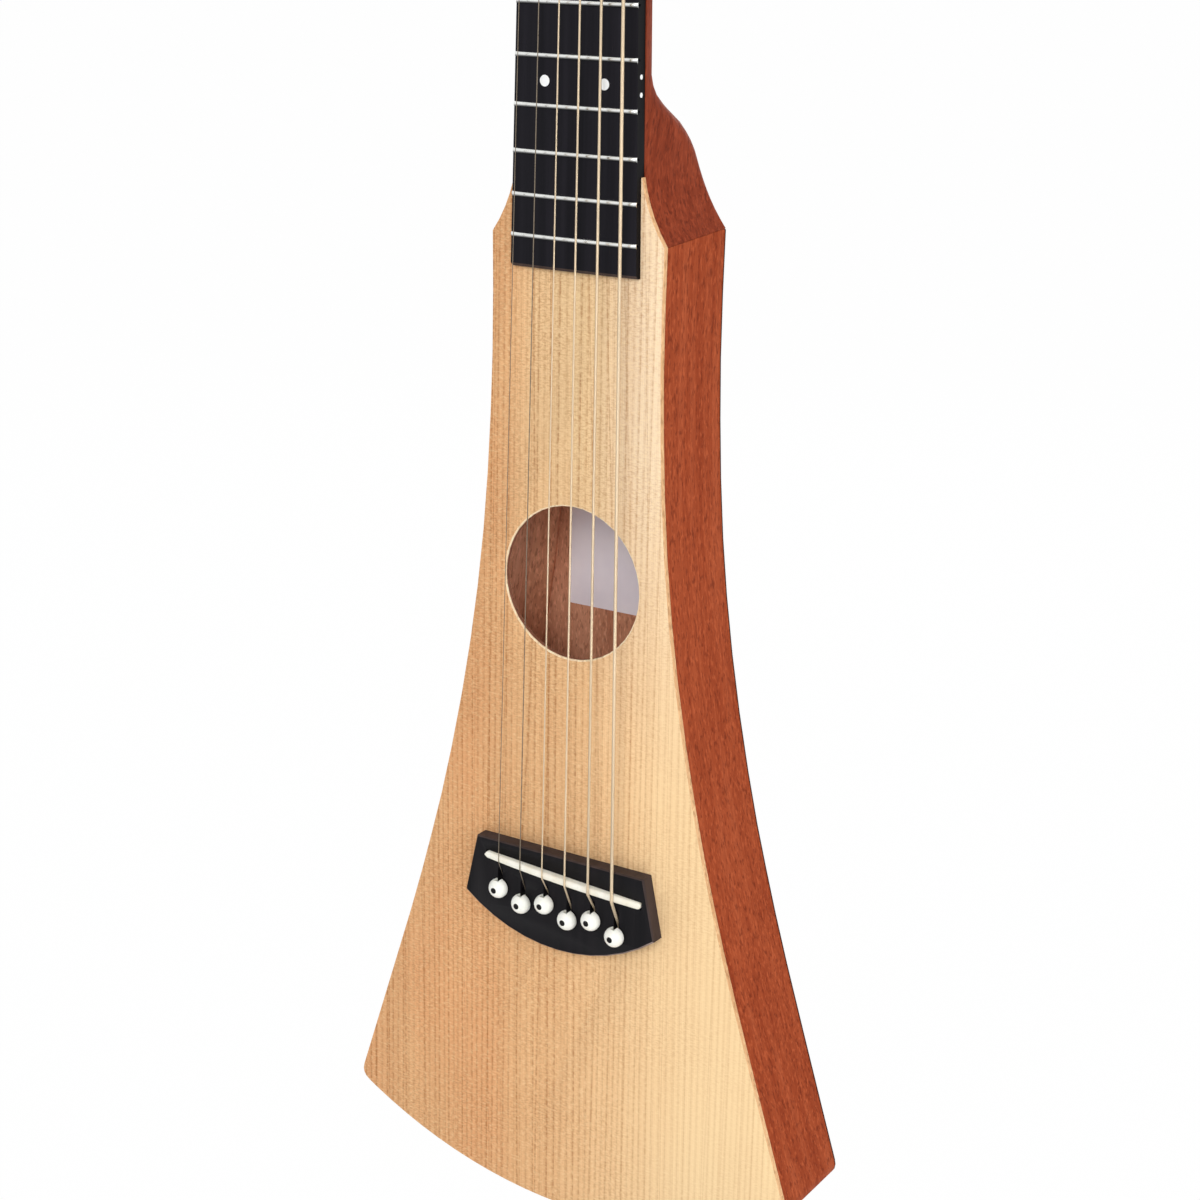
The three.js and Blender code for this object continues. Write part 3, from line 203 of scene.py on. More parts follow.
class Finish:
    """A finish and its shader nodes, added one at a time."""

    def __init__(self, name, roughness=0.5, metallic=0.0, specular=0.3):
        self.material = bpy.data.materials.new(name)
        self.material.use_nodes = True
        self.tree = self.material.node_tree
        self.shader = self.tree.nodes["Principled BSDF"]
        self.shader.inputs["Roughness"].default_value = roughness
        self.shader.inputs["Metallic"].default_value = metallic
        self.shader.inputs["Specular IOR Level"].default_value = specular
        self.place = self.tree.nodes.new("ShaderNodeTexCoord").outputs["Object"]

    def add(self, kind, inputs=None, output=0, **settings):
        node = self.tree.nodes.new(kind)
        for key, value in settings.items():
            setattr(node, key, value)
        for key, value in (inputs or {}).items():
            self.feed(node.inputs[key], value)
        return node.outputs[output]

    def feed(self, socket, value):
        if isinstance(value, bpy.types.NodeSocket):
            self.tree.links.new(value, socket)
        else:
            socket.default_value = value

    def maths(self, operation, *values):
        return self.add("ShaderNodeMath", dict(enumerate(values)), operation=operation)

    def product(self, first, *others):
        for other in others:
            first = self.maths("MULTIPLY", first, other)
        return first

    def between(self, value, low, high, curve="LINEAR"):
        """How far a value has come from low to high, held to 0 and 1."""
        limits = {"Value": value, "From Min": low, "From Max": high}
        return self.add("ShaderNodeMapRange", limits, interpolation_type=curve)

    def axis(self, name, vector=None):
        return self.add("ShaderNodeSeparateXYZ", {0: vector or self.place}, output=name)

    def noise(self, cycles, detail=3.0, rough=0.55, turn=(0, 0, 0), offset=(0, 0, 0)):
        """Noise with its own cycles per metre along x, y and z, turned first."""
        turned = self.add("ShaderNodeMapping", {"Vector": self.place, "Rotation": turn, "Location": offset})
        scaled = self.add("ShaderNodeMapping", {"Vector": turned, "Scale": cycles})
        values = {"Vector": scaled, "Scale": 1.0, "Detail": detail, "Roughness": rough}
        return self.add("ShaderNodeTexNoise", values)

    def steps(self, factor, *stops):
        """A ramp through (position, colour or grey value) stops."""
        node = self.tree.nodes.new("ShaderNodeValToRGB")
        elements = node.color_ramp.elements
        while len(elements) < len(stops):
            elements.new(0.5)
        for element, (position, value) in zip(elements, stops):
            element.position = position
            element.color = value if isinstance(value, tuple) else (value, value, value, 1.0)
        self.feed(node.inputs[0], factor)
        return node.outputs[0]

    def blend(self, factor, first, second):
        node = self.tree.nodes.new("ShaderNodeMix")
        node.data_type = "RGBA"
        for socket, value in ((node.inputs[0], factor), (node.inputs[6], first), (node.inputs[7], second)):
            self.feed(socket, value)
        return node.outputs[2]

    def finish(self, colour, roughness=None, height=None, depth=0.0):
        self.feed(self.shader.inputs["Base Color"], colour)
        if roughness is not None:
            self.feed(self.shader.inputs["Roughness"], roughness)
        if height is not None:
            bump = self.add("ShaderNodeBump", {"Height": height, "Distance": depth, "Strength": 1.0})
            self.feed(self.shader.inputs["Normal"], bump)
        return self.material


# Depths of the finishes' relief, in metres
SPRUCE_RELIEF = 0.00002
PORE_DEPTH = 0.00003
FINE_PORE_DEPTH = 0.00002
PAPER_RELIEF = 0.00001
WINDING_RELIEF = 0.00003

# Spruce: the gap between two ring lines, and where its tones, its painted sheen on the right and its painted
# shade on the left start and end, in metres
RING_GAP = 0.0028
PAINTED_SHEEN_SIDE = (-0.03, 0.08)
UPPER_PART = (-0.6, -0.42)
OFF_THE_LEFT = (-0.036, 0.0)
CREAM_SHEEN_SIDE = (0.004, 0.03)
PINK_SHADE_SIDE = (-0.02, -0.036)


def spruce(name, *tones):
    """Spruce with winter lines along z and fine cross silk, with painted sheen making the right side and
    upper right paler and creamier, and painted shade making the left half pinker.
    """
    pale, warm, winter, pink_shade, sheen_cream = (display(*tone) for tone in tones)
    f = Finish(name, roughness=0.5, specular=0.05)
    x, z = f.axis("X"), f.axis("Z")
    # Painted sheen: towards the right the tone is paler and the grain lines are fainter
    across = f.between(x, *PAINTED_SHEEN_SIDE, "SMOOTHSTEP")
    grain_through_sheen = f.maths("SUBTRACT", 1.0, f.product(across, 0.75))

    def ring_lines(gap, sway, seed, *stops):
        """Lines one gap apart on average, each with a strength of its own, broken into dashes."""
        wander = f.noise((sway, 3, 0.8), detail=2.0, offset=(seed, 0, seed))
        place = f.maths("ADD", f.maths("DIVIDE", x, gap), f.product(wander, 10.0))
        strength = f.add("ShaderNodeTexWhiteNoise", {"W": f.maths("FLOOR", place)}, noise_dimensions="1D")
        dashes = f.steps(f.noise((520, 60, 480), detail=2.0, offset=(seed, 0, 0)), (0.38, 0.25), (0.58, 1.0))
        whole = f.maths("MAXIMUM", dashes, f.product(across, 0.8))
        line = f.product(f.steps(f.maths("FRACT", place), *stops), whole)
        return f.product(line, f.maths("ADD", 0.45, f.product(strength, 0.75)))

    lines = ring_lines(RING_GAP, 9, 0, (0.0, 0.1), (0.4, 0.0), (0.72, 0.45), (0.88, 1.0), (0.95, 0.6),
                       (1.0, 0.1))
    threads = ring_lines(RING_GAP / 3.4, 14, 5, (0.0, 0.0), (0.5, 0.1), (0.8, 1.0), (1.0, 0.0))
    broad = f.steps(f.noise((85, 20, 1.5)), (0.34, 0.0), (0.66, 1.0))
    cloud = f.steps(f.noise((20, 8, 11), offset=(3, 0, 3)), (0.35, 0.0), (0.65, 1.0))
    # Painted sheen: paler and creamier towards the upper right
    upper = f.between(z, *UPPER_PART, "SMOOTHSTEP")
    glow = f.product(upper, f.between(x, *OFF_THE_LEFT, "SMOOTHSTEP"))
    tone = f.blend(f.maths("MAXIMUM", across, glow), warm, pale)
    cream_sheen_mask = f.product(upper, f.between(x, *CREAM_SHEEN_SIDE, "SMOOTHSTEP"))
    tone = f.blend(f.product(cream_sheen_mask, 0.75), tone, sheen_cream)
    # Painted shade: pinker, darker patches over the left half
    pink_shade_patches = f.steps(f.noise((26, 6, 9), offset=(9, 0, 1)), (0.35, 0.1), (0.62, 1.0))
    left = f.between(x, *PINK_SHADE_SIDE, "SMOOTHSTEP")
    tone = f.blend(f.product(pink_shade_patches, left, 0.45), tone, pink_shade)
    tone = f.blend(f.product(broad, grain_through_sheen, 0.26), tone, f.blend(0.5, warm, winter))
    tone = f.blend(f.product(cloud, 0.16), tone, f.blend(0.25, warm, winter))
    tone = f.blend(f.product(threads, grain_through_sheen, 0.3), tone, winter)
    long_lines = ring_lines(RING_GAP * 2.7, 11, 12, (0.0, 0.0), (0.86, 0.0), (0.93, 1.0), (1.0, 0.0))
    tone = f.blend(f.product(long_lines, grain_through_sheen, 0.7), tone, winter)
    soft = ring_lines(RING_GAP, 9, 0, (0.0, 0.9), (0.45, 0.0), (0.8, 1.0), (1.0, 0.9))
    tone = f.blend(f.product(soft, 0.16), tone, f.blend(0.5, warm, winter))
    tone = f.blend(f.product(lines, grain_through_sheen, 0.74), tone, winter)
    flecks = f.steps(f.noise((520, 40, 1500), rough=0.6, offset=(0, 0, 4)), (0.47, 0.0), (0.6, 1.0))
    patches = f.steps(f.noise((30, 6, 20), offset=(1, 0, 7)), (0.36, 0.2), (0.6, 1.0))
    silky = f.product(flecks, patches, grain_through_sheen)
    tone = f.blend(f.product(silky, 0.52), tone, f.blend(0.75, warm, winter))
    pale_flecks = f.steps(f.noise((480, 40, 1350), rough=0.6, offset=(6, 0, 2)), (0.5, 0.0), (0.66, 1.0))
    tone = f.blend(f.product(pale_flecks, 0.36), tone, pale)
    return f.finish(tone, height=f.maths("ADD", lines, silky), depth=SPRUCE_RELIEF)


# The painted shade on the back plate's outer edge, a dark line: its colour, and in millimetres its place and
# how softly it starts
EDGE_SHADE_TONE = (62, 26, 16)
EDGE_SHADE_BEHIND_RIM = 1.1
EDGE_SHADE_BLUR = 0.2


def mahogany(name, *tones, cycles=(60, 160, 4), flecks=(900, 800, 270), turn=(0, 0, 0), gloss=0.5,
             edge_shade_at=None):
    """Red-brown wood with streaks, a soft ribbon and short flecks, with painted shade as a dark line behind a
    depth if one is given.
    """
    middle, dark, light = (display(*tone) for tone in tones)
    f = Finish(name, roughness=gloss, specular=0.03)
    streak = f.noise(cycles, detail=5.0, rough=0.62, turn=turn)
    tone = f.steps(streak, (0.28, dark), (0.5, middle), (0.74, light))
    ribbon = f.noise((16, 40, 9), turn=turn, offset=(2, 5, 0))
    tone = f.blend(f.steps(ribbon, (0.38, 0.0), (0.66, 0.45)), tone, light)
    fine = f.noise(tuple(5 * c for c in cycles), turn=turn, offset=(4, 1, 3))
    tone = f.blend(f.steps(fine, (0.42, 0.0), (0.7, 0.45)), tone, dark)
    pale = f.steps(f.noise(flecks, detail=2.0, turn=turn, offset=(7, 2, 1)), (0.53, 0.0), (0.66, 0.55))
    tone = f.blend(pale, tone, shaded(light, 1.25))
    pore = f.steps(f.noise(flecks, detail=2.0, turn=turn), (0.34, 1.0), (0.46, 0.0))
    tone = f.blend(f.product(pore, 0.6), tone, shaded(dark, 0.62))
    # Painted shade: a dark line on the faces behind the given depth
    if edge_shade_at:
        behind = f.between(f.axis("Y"), (edge_shade_at - EDGE_SHADE_BLUR) * MM, (edge_shade_at + EDGE_SHADE_BLUR) * MM)
        tone = f.blend(behind, tone, display(*EDGE_SHADE_TONE))
    rough = f.steps(streak, (0.3, gloss + 0.06), (0.7, gloss - 0.05))
    return f.finish(tone, roughness=rough, height=f.maths("SUBTRACT", 1.0, pore), depth=PORE_DEPTH)


def black_wood(name, middle, light, gloss=0.38):
    """Close-grained black wood with faint streaks along z."""
    f = Finish(name, roughness=gloss, specular=0.09)
    streak = f.noise((240, 240, 6))
    tone = f.steps(streak, (0.35, display(*middle)), (0.75, display(*light)))
    pore = f.steps(f.noise((900, 900, 40), detail=1.0), (0.3, 1.0), (0.38, 0.0))
    rough = f.steps(streak, (0.3, gloss - 0.06), (0.7, gloss + 0.08))
    return f.finish(tone, roughness=rough, height=f.maths("SUBTRACT", 1.0, pore), depth=FINE_PORE_DEPTH)


def ivory(name, body=(250, 246, 232), shade=(240, 232, 210)):
    """A pale polished bone or plastic that lets a little light in."""
    f = Finish(name, roughness=0.3, specular=0.4)
    f.shader.inputs["Subsurface Weight"].default_value = 0.05
    f.shader.inputs["Subsurface Radius"].default_value = (0.002, 0.0016, 0.001)
    tone = f.steps(f.noise((120, 120, 40)), (0.3, display(*shade)), (0.65, display(*body)))
    rough = f.steps(f.noise((500, 500, 500)), (0.3, 0.24), (0.7, 0.36))
    return f.finish(tone, roughness=rough)


def paper(name, clean, aged):
    """Matt paper, a little uneven in tone, with fine fibres."""
    f = Finish(name, roughness=0.75, specular=0.2)
    tone = f.steps(f.noise((60, 60, 45), detail=4.0), (0.35, display(*aged)), (0.65, display(*clean)))
    fibres = f.noise((1500, 1500, 1500), detail=2.0)
    return f.finish(tone, height=fibres, depth=PAPER_RELIEF)


# Distance between two turns of a wound string's wire, in metres
WRAP_PITCH = 0.00028


def wound(name, colour):
    """A wound string: fine ridges across its length."""
    f = Finish(name, roughness=0.34, metallic=0.75, specular=0.5)
    uv = f.add("ShaderNodeUVMap", uv_map="length")
    turns = f.maths("ADD", f.maths("DIVIDE", f.axis("X", uv), WRAP_PITCH), f.axis("Y", uv))
    ridge = f.maths("SINE", f.product(turns, 2 * math.pi))
    clean = display(*colour)
    tone = f.steps(f.noise((30, 30, 14)), (0.3, shaded(clean, 0.84)), (0.65, clean))
    return f.finish(tone, height=ridge, depth=WINDING_RELIEF)


def metal(name, colour, roughness=0.22, brushing=300, depth=0.000005, metallic=1.0, painted_shade_below=None):
    """Polished metal with fine wear, and painted shade on the faces that look down when a shade colour is
    given.
    """
    f = Finish(name, roughness=roughness, metallic=metallic, specular=0.5)
    wear = f.noise((brushing,) * 3)
    clean = display(*colour)
    tone = f.steps(wear, (0.25, shaded(clean, 0.86)), (0.7, clean))
    # Painted shade: darker on the faces that look down
    if painted_shade_below:
        facing = f.add("ShaderNodeNewGeometry", output="Normal")
        upward = f.between(f.axis("Z", facing), -0.5, 0.05)
        tone = f.blend(upward, display(*painted_shade_below), tone)
    rough = f.steps(wear, (0.3, roughness - 0.05), (0.7, roughness + 0.08))
    return f.finish(tone, roughness=rough, height=wear, depth=depth)


FINISHES = {
    "spruce": spruce("spruce_top", (251, 221, 171), (239, 189, 137), (164, 100, 50), (232, 154, 102),
                     (255, 234, 203)),
    "brace_spruce": spruce("spruce_brace", (222, 184, 134), (214, 172, 124), (160, 112, 70), (210, 160, 112),
                           (226, 190, 144)),
    "top_edge": mahogany("top_edge", (226, 176, 128), (214, 160, 112), (238, 194, 146), gloss=0.6),
    # Painted highlight: a pale rim where the sound hole's eased edge catches the light
    "hole_rim": mahogany("hole_rim", (250, 222, 184), (240, 206, 162), (252, 232, 198), gloss=0.6),
    # Painted shade: the sound hole's spruce wall in dark brown, as though in the hole's shade
    "hole_wall": mahogany("hole_wall", (150, 98, 76), (132, 84, 64), (164, 112, 90), gloss=0.7),
    "side": mahogany("mahogany_side", (162, 72, 39), (132, 50, 25), (176, 86, 51)),
    "back": mahogany("mahogany_back", (160, 78, 48), (134, 58, 34), (178, 96, 64), cycles=(160, 60, 3),
                     flecks=(640, 700, 200)),
    # Painted shade: a dark line along the back plate's outer edge
    "back_edge": mahogany("back_edge", (162, 74, 42), (142, 58, 30), (174, 86, 52),
                          edge_shade_at=RIM_DEPTH + EDGE_SHADE_BEHIND_RIM),
    "neck": mahogany("mahogany_neck", (134, 56, 32), (108, 42, 25), (150, 68, 42), cycles=(170, 170, 12),
                     flecks=(820, 820, 260), turn=(math.radians(16), 0, 0)),
    "inside": mahogany("raw_mahogany", (214, 152, 120), (188, 124, 94), (228, 170, 138), gloss=0.7),
    "cedar": mahogany("cedar_lining", (216, 150, 116), (190, 124, 92), (230, 168, 134), gloss=0.7),
    "board": black_wood("black_fingerboard", (18, 17, 22), (31, 29, 35), gloss=0.42),
    # Painted shade: a darker copy of the black wood for the fingerboard's side faces
    "board_side": black_wood("fingerboard_side", (10, 9, 11), (17, 16, 18), gloss=0.55),
    "bridge": black_wood("black_bridge", (17, 16, 19), (28, 25, 28), gloss=0.42),
    # Painted light: a paler brown copy of the black wood for lit walls
    "bridge_wall": black_wood("bridge_wall", (58, 48, 46), (76, 64, 61), gloss=0.5),
    # Painted highlight: a pale glint on the bridge's lower bevel
    "bridge_edge": black_wood("bridge_edge", (122, 106, 100), (142, 126, 120), gloss=0.5),
    "ivory": ivory("ivory"),
    "pin": ivory("pin_white", (250, 249, 240), (240, 238, 228)),
    "nickel": metal("nickel", (200, 198, 193)),
    # The fret wires carry painted shade on their lower faces
    "fret_wire": metal("fret_wire", (238, 239, 236), roughness=0.2, brushing=60, depth=0.000001,
                       painted_shade_below=(96, 96, 96)),
    "steel": metal("plain_steel", (138, 124, 106), roughness=0.28, metallic=0.6),
    "bronze": wound("wound_bronze", (226, 204, 172)),
    "pearl": ivory("pearl_dot", (252, 252, 248), (240, 242, 242)),
    "dot": black_wood("pin_dot", (20, 19, 20), (30, 28, 29), gloss=0.3),
    "paper": paper("label_paper", (255, 249, 253), (246, 239, 246)),
    "strap": black_wood("strap_black", (24, 23, 24), (34, 33, 34), gloss=0.3),
}


# Skins over the solids

BODY_OF = {node: body for body, nodes in frame["record"]["behaviour"]["bodies"].items() for node in nodes}

# Corners this close merge, and faces this flat to each other join, in metres and radians
SKIN_WELD = 0.000002
PIECE_WELD = 0.000001
FLAT_JOINT = math.radians(0.4)
# Edges sharper than this are rounded
SHARP_EDGE = math.radians(35)
EDGE_STEPS = 2
EASED_STEPS = 4
# Widths of rounded edges, in millimetres
TOP_EDGE = 0.45
HOLE_EDGE = 0.6
BACK_EDGE = 0.7
# How far from the hole's or the bridge's outline a face still counts as its wall, in millimetres
HOLE_WALL_REACH = 1.4
HOLE_EDGE_REACH = 0.1
BRIDGE_WALL_REACH = 1.2
BRIDGE_TAIL_REACH = 2.5
# How much of a face's normal lies along an axis, from dead flat to hardly leaning
DEAD_FLAT, FLAT, MOSTLY, LEANING, SLIGHTLY, HARDLY = 0.999, 0.97, 0.9, 0.3, 0.2, 0.1


def ride_on(piece, body):
    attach(piece, body)
    return piece


def skin(node, finish, crease=30.0, edge=0.0, eased=None):
    """A welded copy of a solid with soft shading, its sharp edges rounded, and chosen edges eased more."""
    mesh = frame["nodes"][node].data.copy()
    shape = bmesh.new()
    shape.from_mesh(mesh)
    bmesh.ops.remove_doubles(shape, verts=shape.verts, dist=SKIN_WELD)
    bmesh.ops.dissolve_limit(shape, angle_limit=FLAT_JOINT, verts=shape.verts, edges=shape.edges)
    if eased:
        chosen, width = eased
        edges = [e for e in shape.edges if all(chosen(v.co) for v in e.verts)]
        bmesh.ops.bevel(shape, geom=edges, offset=width * MM, segments=EASED_STEPS, profile=0.5,
                        affect="EDGES", clamp_overlap=True)
    shape.to_mesh(mesh)
    shape.free()
    mesh.materials.clear()
    mesh.materials.append(FINISHES[finish])
    mesh.shade_smooth()
    piece = placed(f"{node}_skin", mesh)
    if edge:
        bevel = piece.modifiers.new("rounded_edges", "BEVEL")
        bevel.width = edge * MM
        bevel.segments = EDGE_STEPS
        bevel.limit_method = "ANGLE"
        bevel.angle_limit = SHARP_EDGE
        rounded = finished_mesh(piece)
        piece.modifiers.remove(bevel)
        piece.data = rounded
    piece.data.set_sharp_from_angle(angle=math.radians(crease))
    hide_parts(node)
    return ride_on(piece, BODY_OF[node])


def paint(piece, finish, chosen):
    """Another finish on the faces of a skin that are chosen."""
    piece.data.materials.append(FINISHES[finish])
    for face in piece.data.polygons:
        if chosen(face):
            face.material_index = len(piece.data.materials) - 1


def faces_inward(face):
    return face.normal.x * face.center.x < 0


def near_sound_hole(point, reach=HOLE_WALL_REACH):
    return math.hypot(point.x, point.z - down(SOUND_HOLE_BELOW_NUT) * MM) < (SOUND_HOLE_RADIUS + reach) * MM


def hole_front_edge(point):
    return near_sound_hole(point, HOLE_EDGE_REACH) and point.y < (HOLE_EDGE_REACH - TOP_THICKNESS) * MM


def on_bridge_rim(face):
    """The bridge's outer walls, without the saddle slot and the pin holes."""
    x, below = abs(face.center.x) / MM, down(SCALE_LENGTH) - face.center.z / MM
    share = (below + BRIDGE_ABOVE_SADDLE) / (BRIDGE_CORNER_BELOW_SADDLE + BRIDGE_ABOVE_SADDLE)
    half = BRIDGE_TOP_HALF_WIDTH + (BRIDGE_LOWER_HALF_WIDTH - BRIDGE_TOP_HALF_WIDTH) * share
    sag = (BRIDGE_BOTTOM_BELOW_SADDLE - BRIDGE_CORNER_BELOW_SADDLE) * (x / BRIDGE_LOWER_HALF_WIDTH) ** 2
    at_top = below < BRIDGE_WALL_REACH - BRIDGE_ABOVE_SADDLE
    at_side = x > half - BRIDGE_WALL_REACH
    return at_top or at_side or below > BRIDGE_BOTTOM_BELOW_SADDLE - sag - BRIDGE_TAIL_REACH


def dress_body():
    """The plates, sides, linings and braces, with their own tones on edges and inside, a painted highlight on
    the sound hole's rim, painted shade on its wall and a dark line of painted shade along the back's edge.
    """
    top = skin("top_plate", "spruce", edge=TOP_EDGE, eased=(hole_front_edge, HOLE_EDGE))
    paint(top, "top_edge", lambda face: face.normal.y > -FLAT and not near_sound_hole(face.center))
    # Painted highlight on the sound hole's eased rim
    paint(top, "hole_rim", lambda face: abs(face.normal.y) < DEAD_FLAT and near_sound_hole(face.center))
    # Painted shade on the sound hole's wall
    paint(top, "hole_wall", lambda face: abs(face.normal.y) < HARDLY and near_sound_hole(face.center))
    back = skin("back_plate", "back", edge=BACK_EDGE)
    # The back's edge carries a dark line of painted shade
    paint(back, "back_edge", lambda face: abs(face.normal.y) < FLAT)
    paint(back, "inside", lambda face: face.normal.y < -MOSTLY)
    for side in ("side_right", "side_left"):
        paint(skin(side, "side", crease=20), "inside", faces_inward)
    for lining in ("front_right", "front_left", "back_right", "back_left"):
        skin(f"lining_{lining}", "cedar")
    skin("tail_block", "neck")
    for brace in ("upper_brace", "lower_brace"):
        skin(brace, "brace_spruce")


def dress_neck():
    skin("neck", "neck", crease=32)
    board = skin("fingerboard", "board", crease=20)
    # Painted light: the fingerboard's lower end face in the paler lit brown
    paint(board, "bridge_wall", lambda face: face.normal.z < -LEANING and face.normal.y < -SLIGHTLY)
    # Painted shade on the fingerboard's side faces
    paint(board, "board_side", lambda face: abs(face.normal.x) > MOSTLY)
    skin("nut", "ivory")


def dress_bridge():
    """The bridge in black wood, with painted light making its walls paler and a painted highlight as a pale
    bevel along its lower edge.
    """
    above_plate = 0.1
    wall_foot = (-TOP_THICKNESS - above_plate) * MM

    def on_wall(face):
        return abs(face.normal.y) < MOSTLY and face.center.y < wall_foot and on_bridge_rim(face)

    def on_lower_edge(face):
        return -MOSTLY < face.normal.y < -LEANING and face.normal.z < -HARDLY and on_bridge_rim(face)

    bridge = skin("bridge", "bridge")
    # Painted light on the bridge's outer walls
    paint(bridge, "bridge_wall", on_wall)
    # Painted highlight on the bridge's lower bevel
    paint(bridge, "bridge_edge", on_lower_edge)
    skin("bridge_plate", "neck")


def dress_hardware():
    for number in range(1, len(STRINGS) + 1):
        skin(f"string_post_{number}", "nickel", crease=40)
        skin(f"tuning_button_{number}", "nickel", crease=50)
    for hand in ("left", "right"):
        skin(f"tuner_plate_{hand}", "nickel")
    skin("strap_button", "strap", crease=40)


# Meshes


def new_piece(name, points, faces, finish, body="guitar", smooth=True, crease=40.0):
    """A mesh from points in millimetres, riding on a body."""
    mesh = bpy.data.meshes.new(name)
    mesh.from_pydata([Vector(point) * MM for point in points], [], faces)
    mesh.materials.append(FINISHES[finish])
    if smooth:
        mesh.shade_smooth()
        mesh.set_sharp_from_angle(angle=math.radians(crease))
    return ride_on(placed(name, mesh), body)


def face_outwards(mesh):
    """Merges doubled corners and turns every face outwards."""
    shape = bmesh.new()
    shape.from_mesh(mesh)
    bmesh.ops.remove_doubles(shape, verts=shape.verts, dist=PIECE_WELD)
    bmesh.ops.recalc_face_normals(shape, faces=shape.faces)
    shape.to_mesh(mesh)
    shape.free()


def loft_faces(rings, count, close_ends=True):
    """Faces over rings of points that share one count, with flat ends."""
    faces = []
    for row in range(rings - 1):
        for step in range(count):
            after = (step + 1) % count
            low, high = row * count, (row + 1) * count
            faces.append((low + step, low + after, high + after, high + step))
    if close_ends:
        faces.append(tuple(reversed(range(count))))
        faces.append(tuple(range((rings - 1) * count, rings * count)))
    return faces


def lathe_rings(profile, segments, centre=(0, 0, 0), along=(0, -1, 0), across=(1, 0, 0)):
    """Rings of a profile of (radius, distance) turned about an axis."""
    along, across = Vector(along), Vector(across)
    third = along.cross(across)
    rings = []
    for radius, distance in profile:
        middle = Vector(centre) + along * distance
        for step in range(segments):
            turn = 2 * math.pi * step / segments
            rings.append(middle + (across * math.cos(turn) + third * math.sin(turn)) * radius)
    return rings


# Repeated trim from geometry nodes


class Pattern:
    """A geometry node tree with named inputs, added one node at a time."""

    def __init__(self, name, **sizes):
        self.tree = bpy.data.node_groups.new(name, "GeometryNodeTree")
        face = self.tree.interface
        face.new_socket("Geometry", in_out="INPUT", socket_type="NodeSocketGeometry")
        self.ids = {}
        for label, value in sizes.items():
            kind = "NodeSocketInt" if isinstance(value, int) else "NodeSocketFloat"
            socket = face.new_socket(label, in_out="INPUT", socket_type=kind)
            socket.default_value = value
            self.ids[label] = socket.identifier
        socket = face.new_socket("Finish", in_out="INPUT", socket_type="NodeSocketMaterial")
        self.ids["Finish"] = socket.identifier
        face.new_socket("Geometry", in_out="OUTPUT", socket_type="NodeSocketGeometry")
        self.inputs = self.tree.nodes.new("NodeGroupInput").outputs

    def add(self, kind, inputs=None, output=0, **settings):
        node = self.tree.nodes.new(kind)
        for key, value in settings.items():
            setattr(node, key, value)
        for key, value in (inputs or {}).items():
            sockets = [s for s in node.inputs if s.enabled and s.name == key] or [node.inputs[key]]
            self.feed(sockets[0], value)
        shown = [s for s in node.outputs if s.enabled]
        return node.outputs[output] if isinstance(output, str) else shown[output]

    def feed(self, socket, value):
        for item in value if isinstance(value, list) else [value]:
            if isinstance(item, bpy.types.NodeSocket):
                self.tree.links.new(item, socket)
            else:
                socket.default_value = item

    def maths(self, operation, *values):
        return self.add("ShaderNodeMath", dict(enumerate(values)), operation=operation)

    def vector(self, **axes):
        """A vector from its x, y and z, each 0 where it isn't given."""
        return self.add("ShaderNodeCombineXYZ", {"xyz".index(axis): value for axis, value in axes.items()})

    def copies(self, points, instance, **placing):
        return self.add("GeometryNodeInstanceOnPoints", {"Points": points, "Instance": instance, **placing})

    def finish(self, geometry):
        solid = self.add("GeometryNodeRealizeInstances", {"Geometry": geometry})
        dressed = self.add("GeometryNodeSetMaterial", {"Geometry": solid, "Material": self.inputs["Finish"]})
        out = self.tree.nodes.new("NodeGroupOutput")
        self.tree.links.new(dressed, out.inputs[0])
        return self

    def made(self, name, points, faces, finish, crease=40.0, **sizes):
        """The tree's result on a mesh of points in millimetres, as a plain piece."""
        mesh = bpy.data.meshes.new(name)
        mesh.from_pydata([Vector(point) * MM for point in points], [], faces)
        holder = placed(f"{name}_holder", mesh)
        modifier = holder.modifiers.new("pattern", "NODES")
        modifier.node_group = self.tree
        modifier[self.ids["Finish"]] = FINISHES[finish]
        for label, value in sizes.items():
            modifier[self.ids[label]] = value
        result = finished_mesh(holder)
        bpy.data.objects.remove(holder)
        result.shade_smooth()
        result.set_sharp_from_angle(angle=math.radians(crease))
        return placed(name, result)


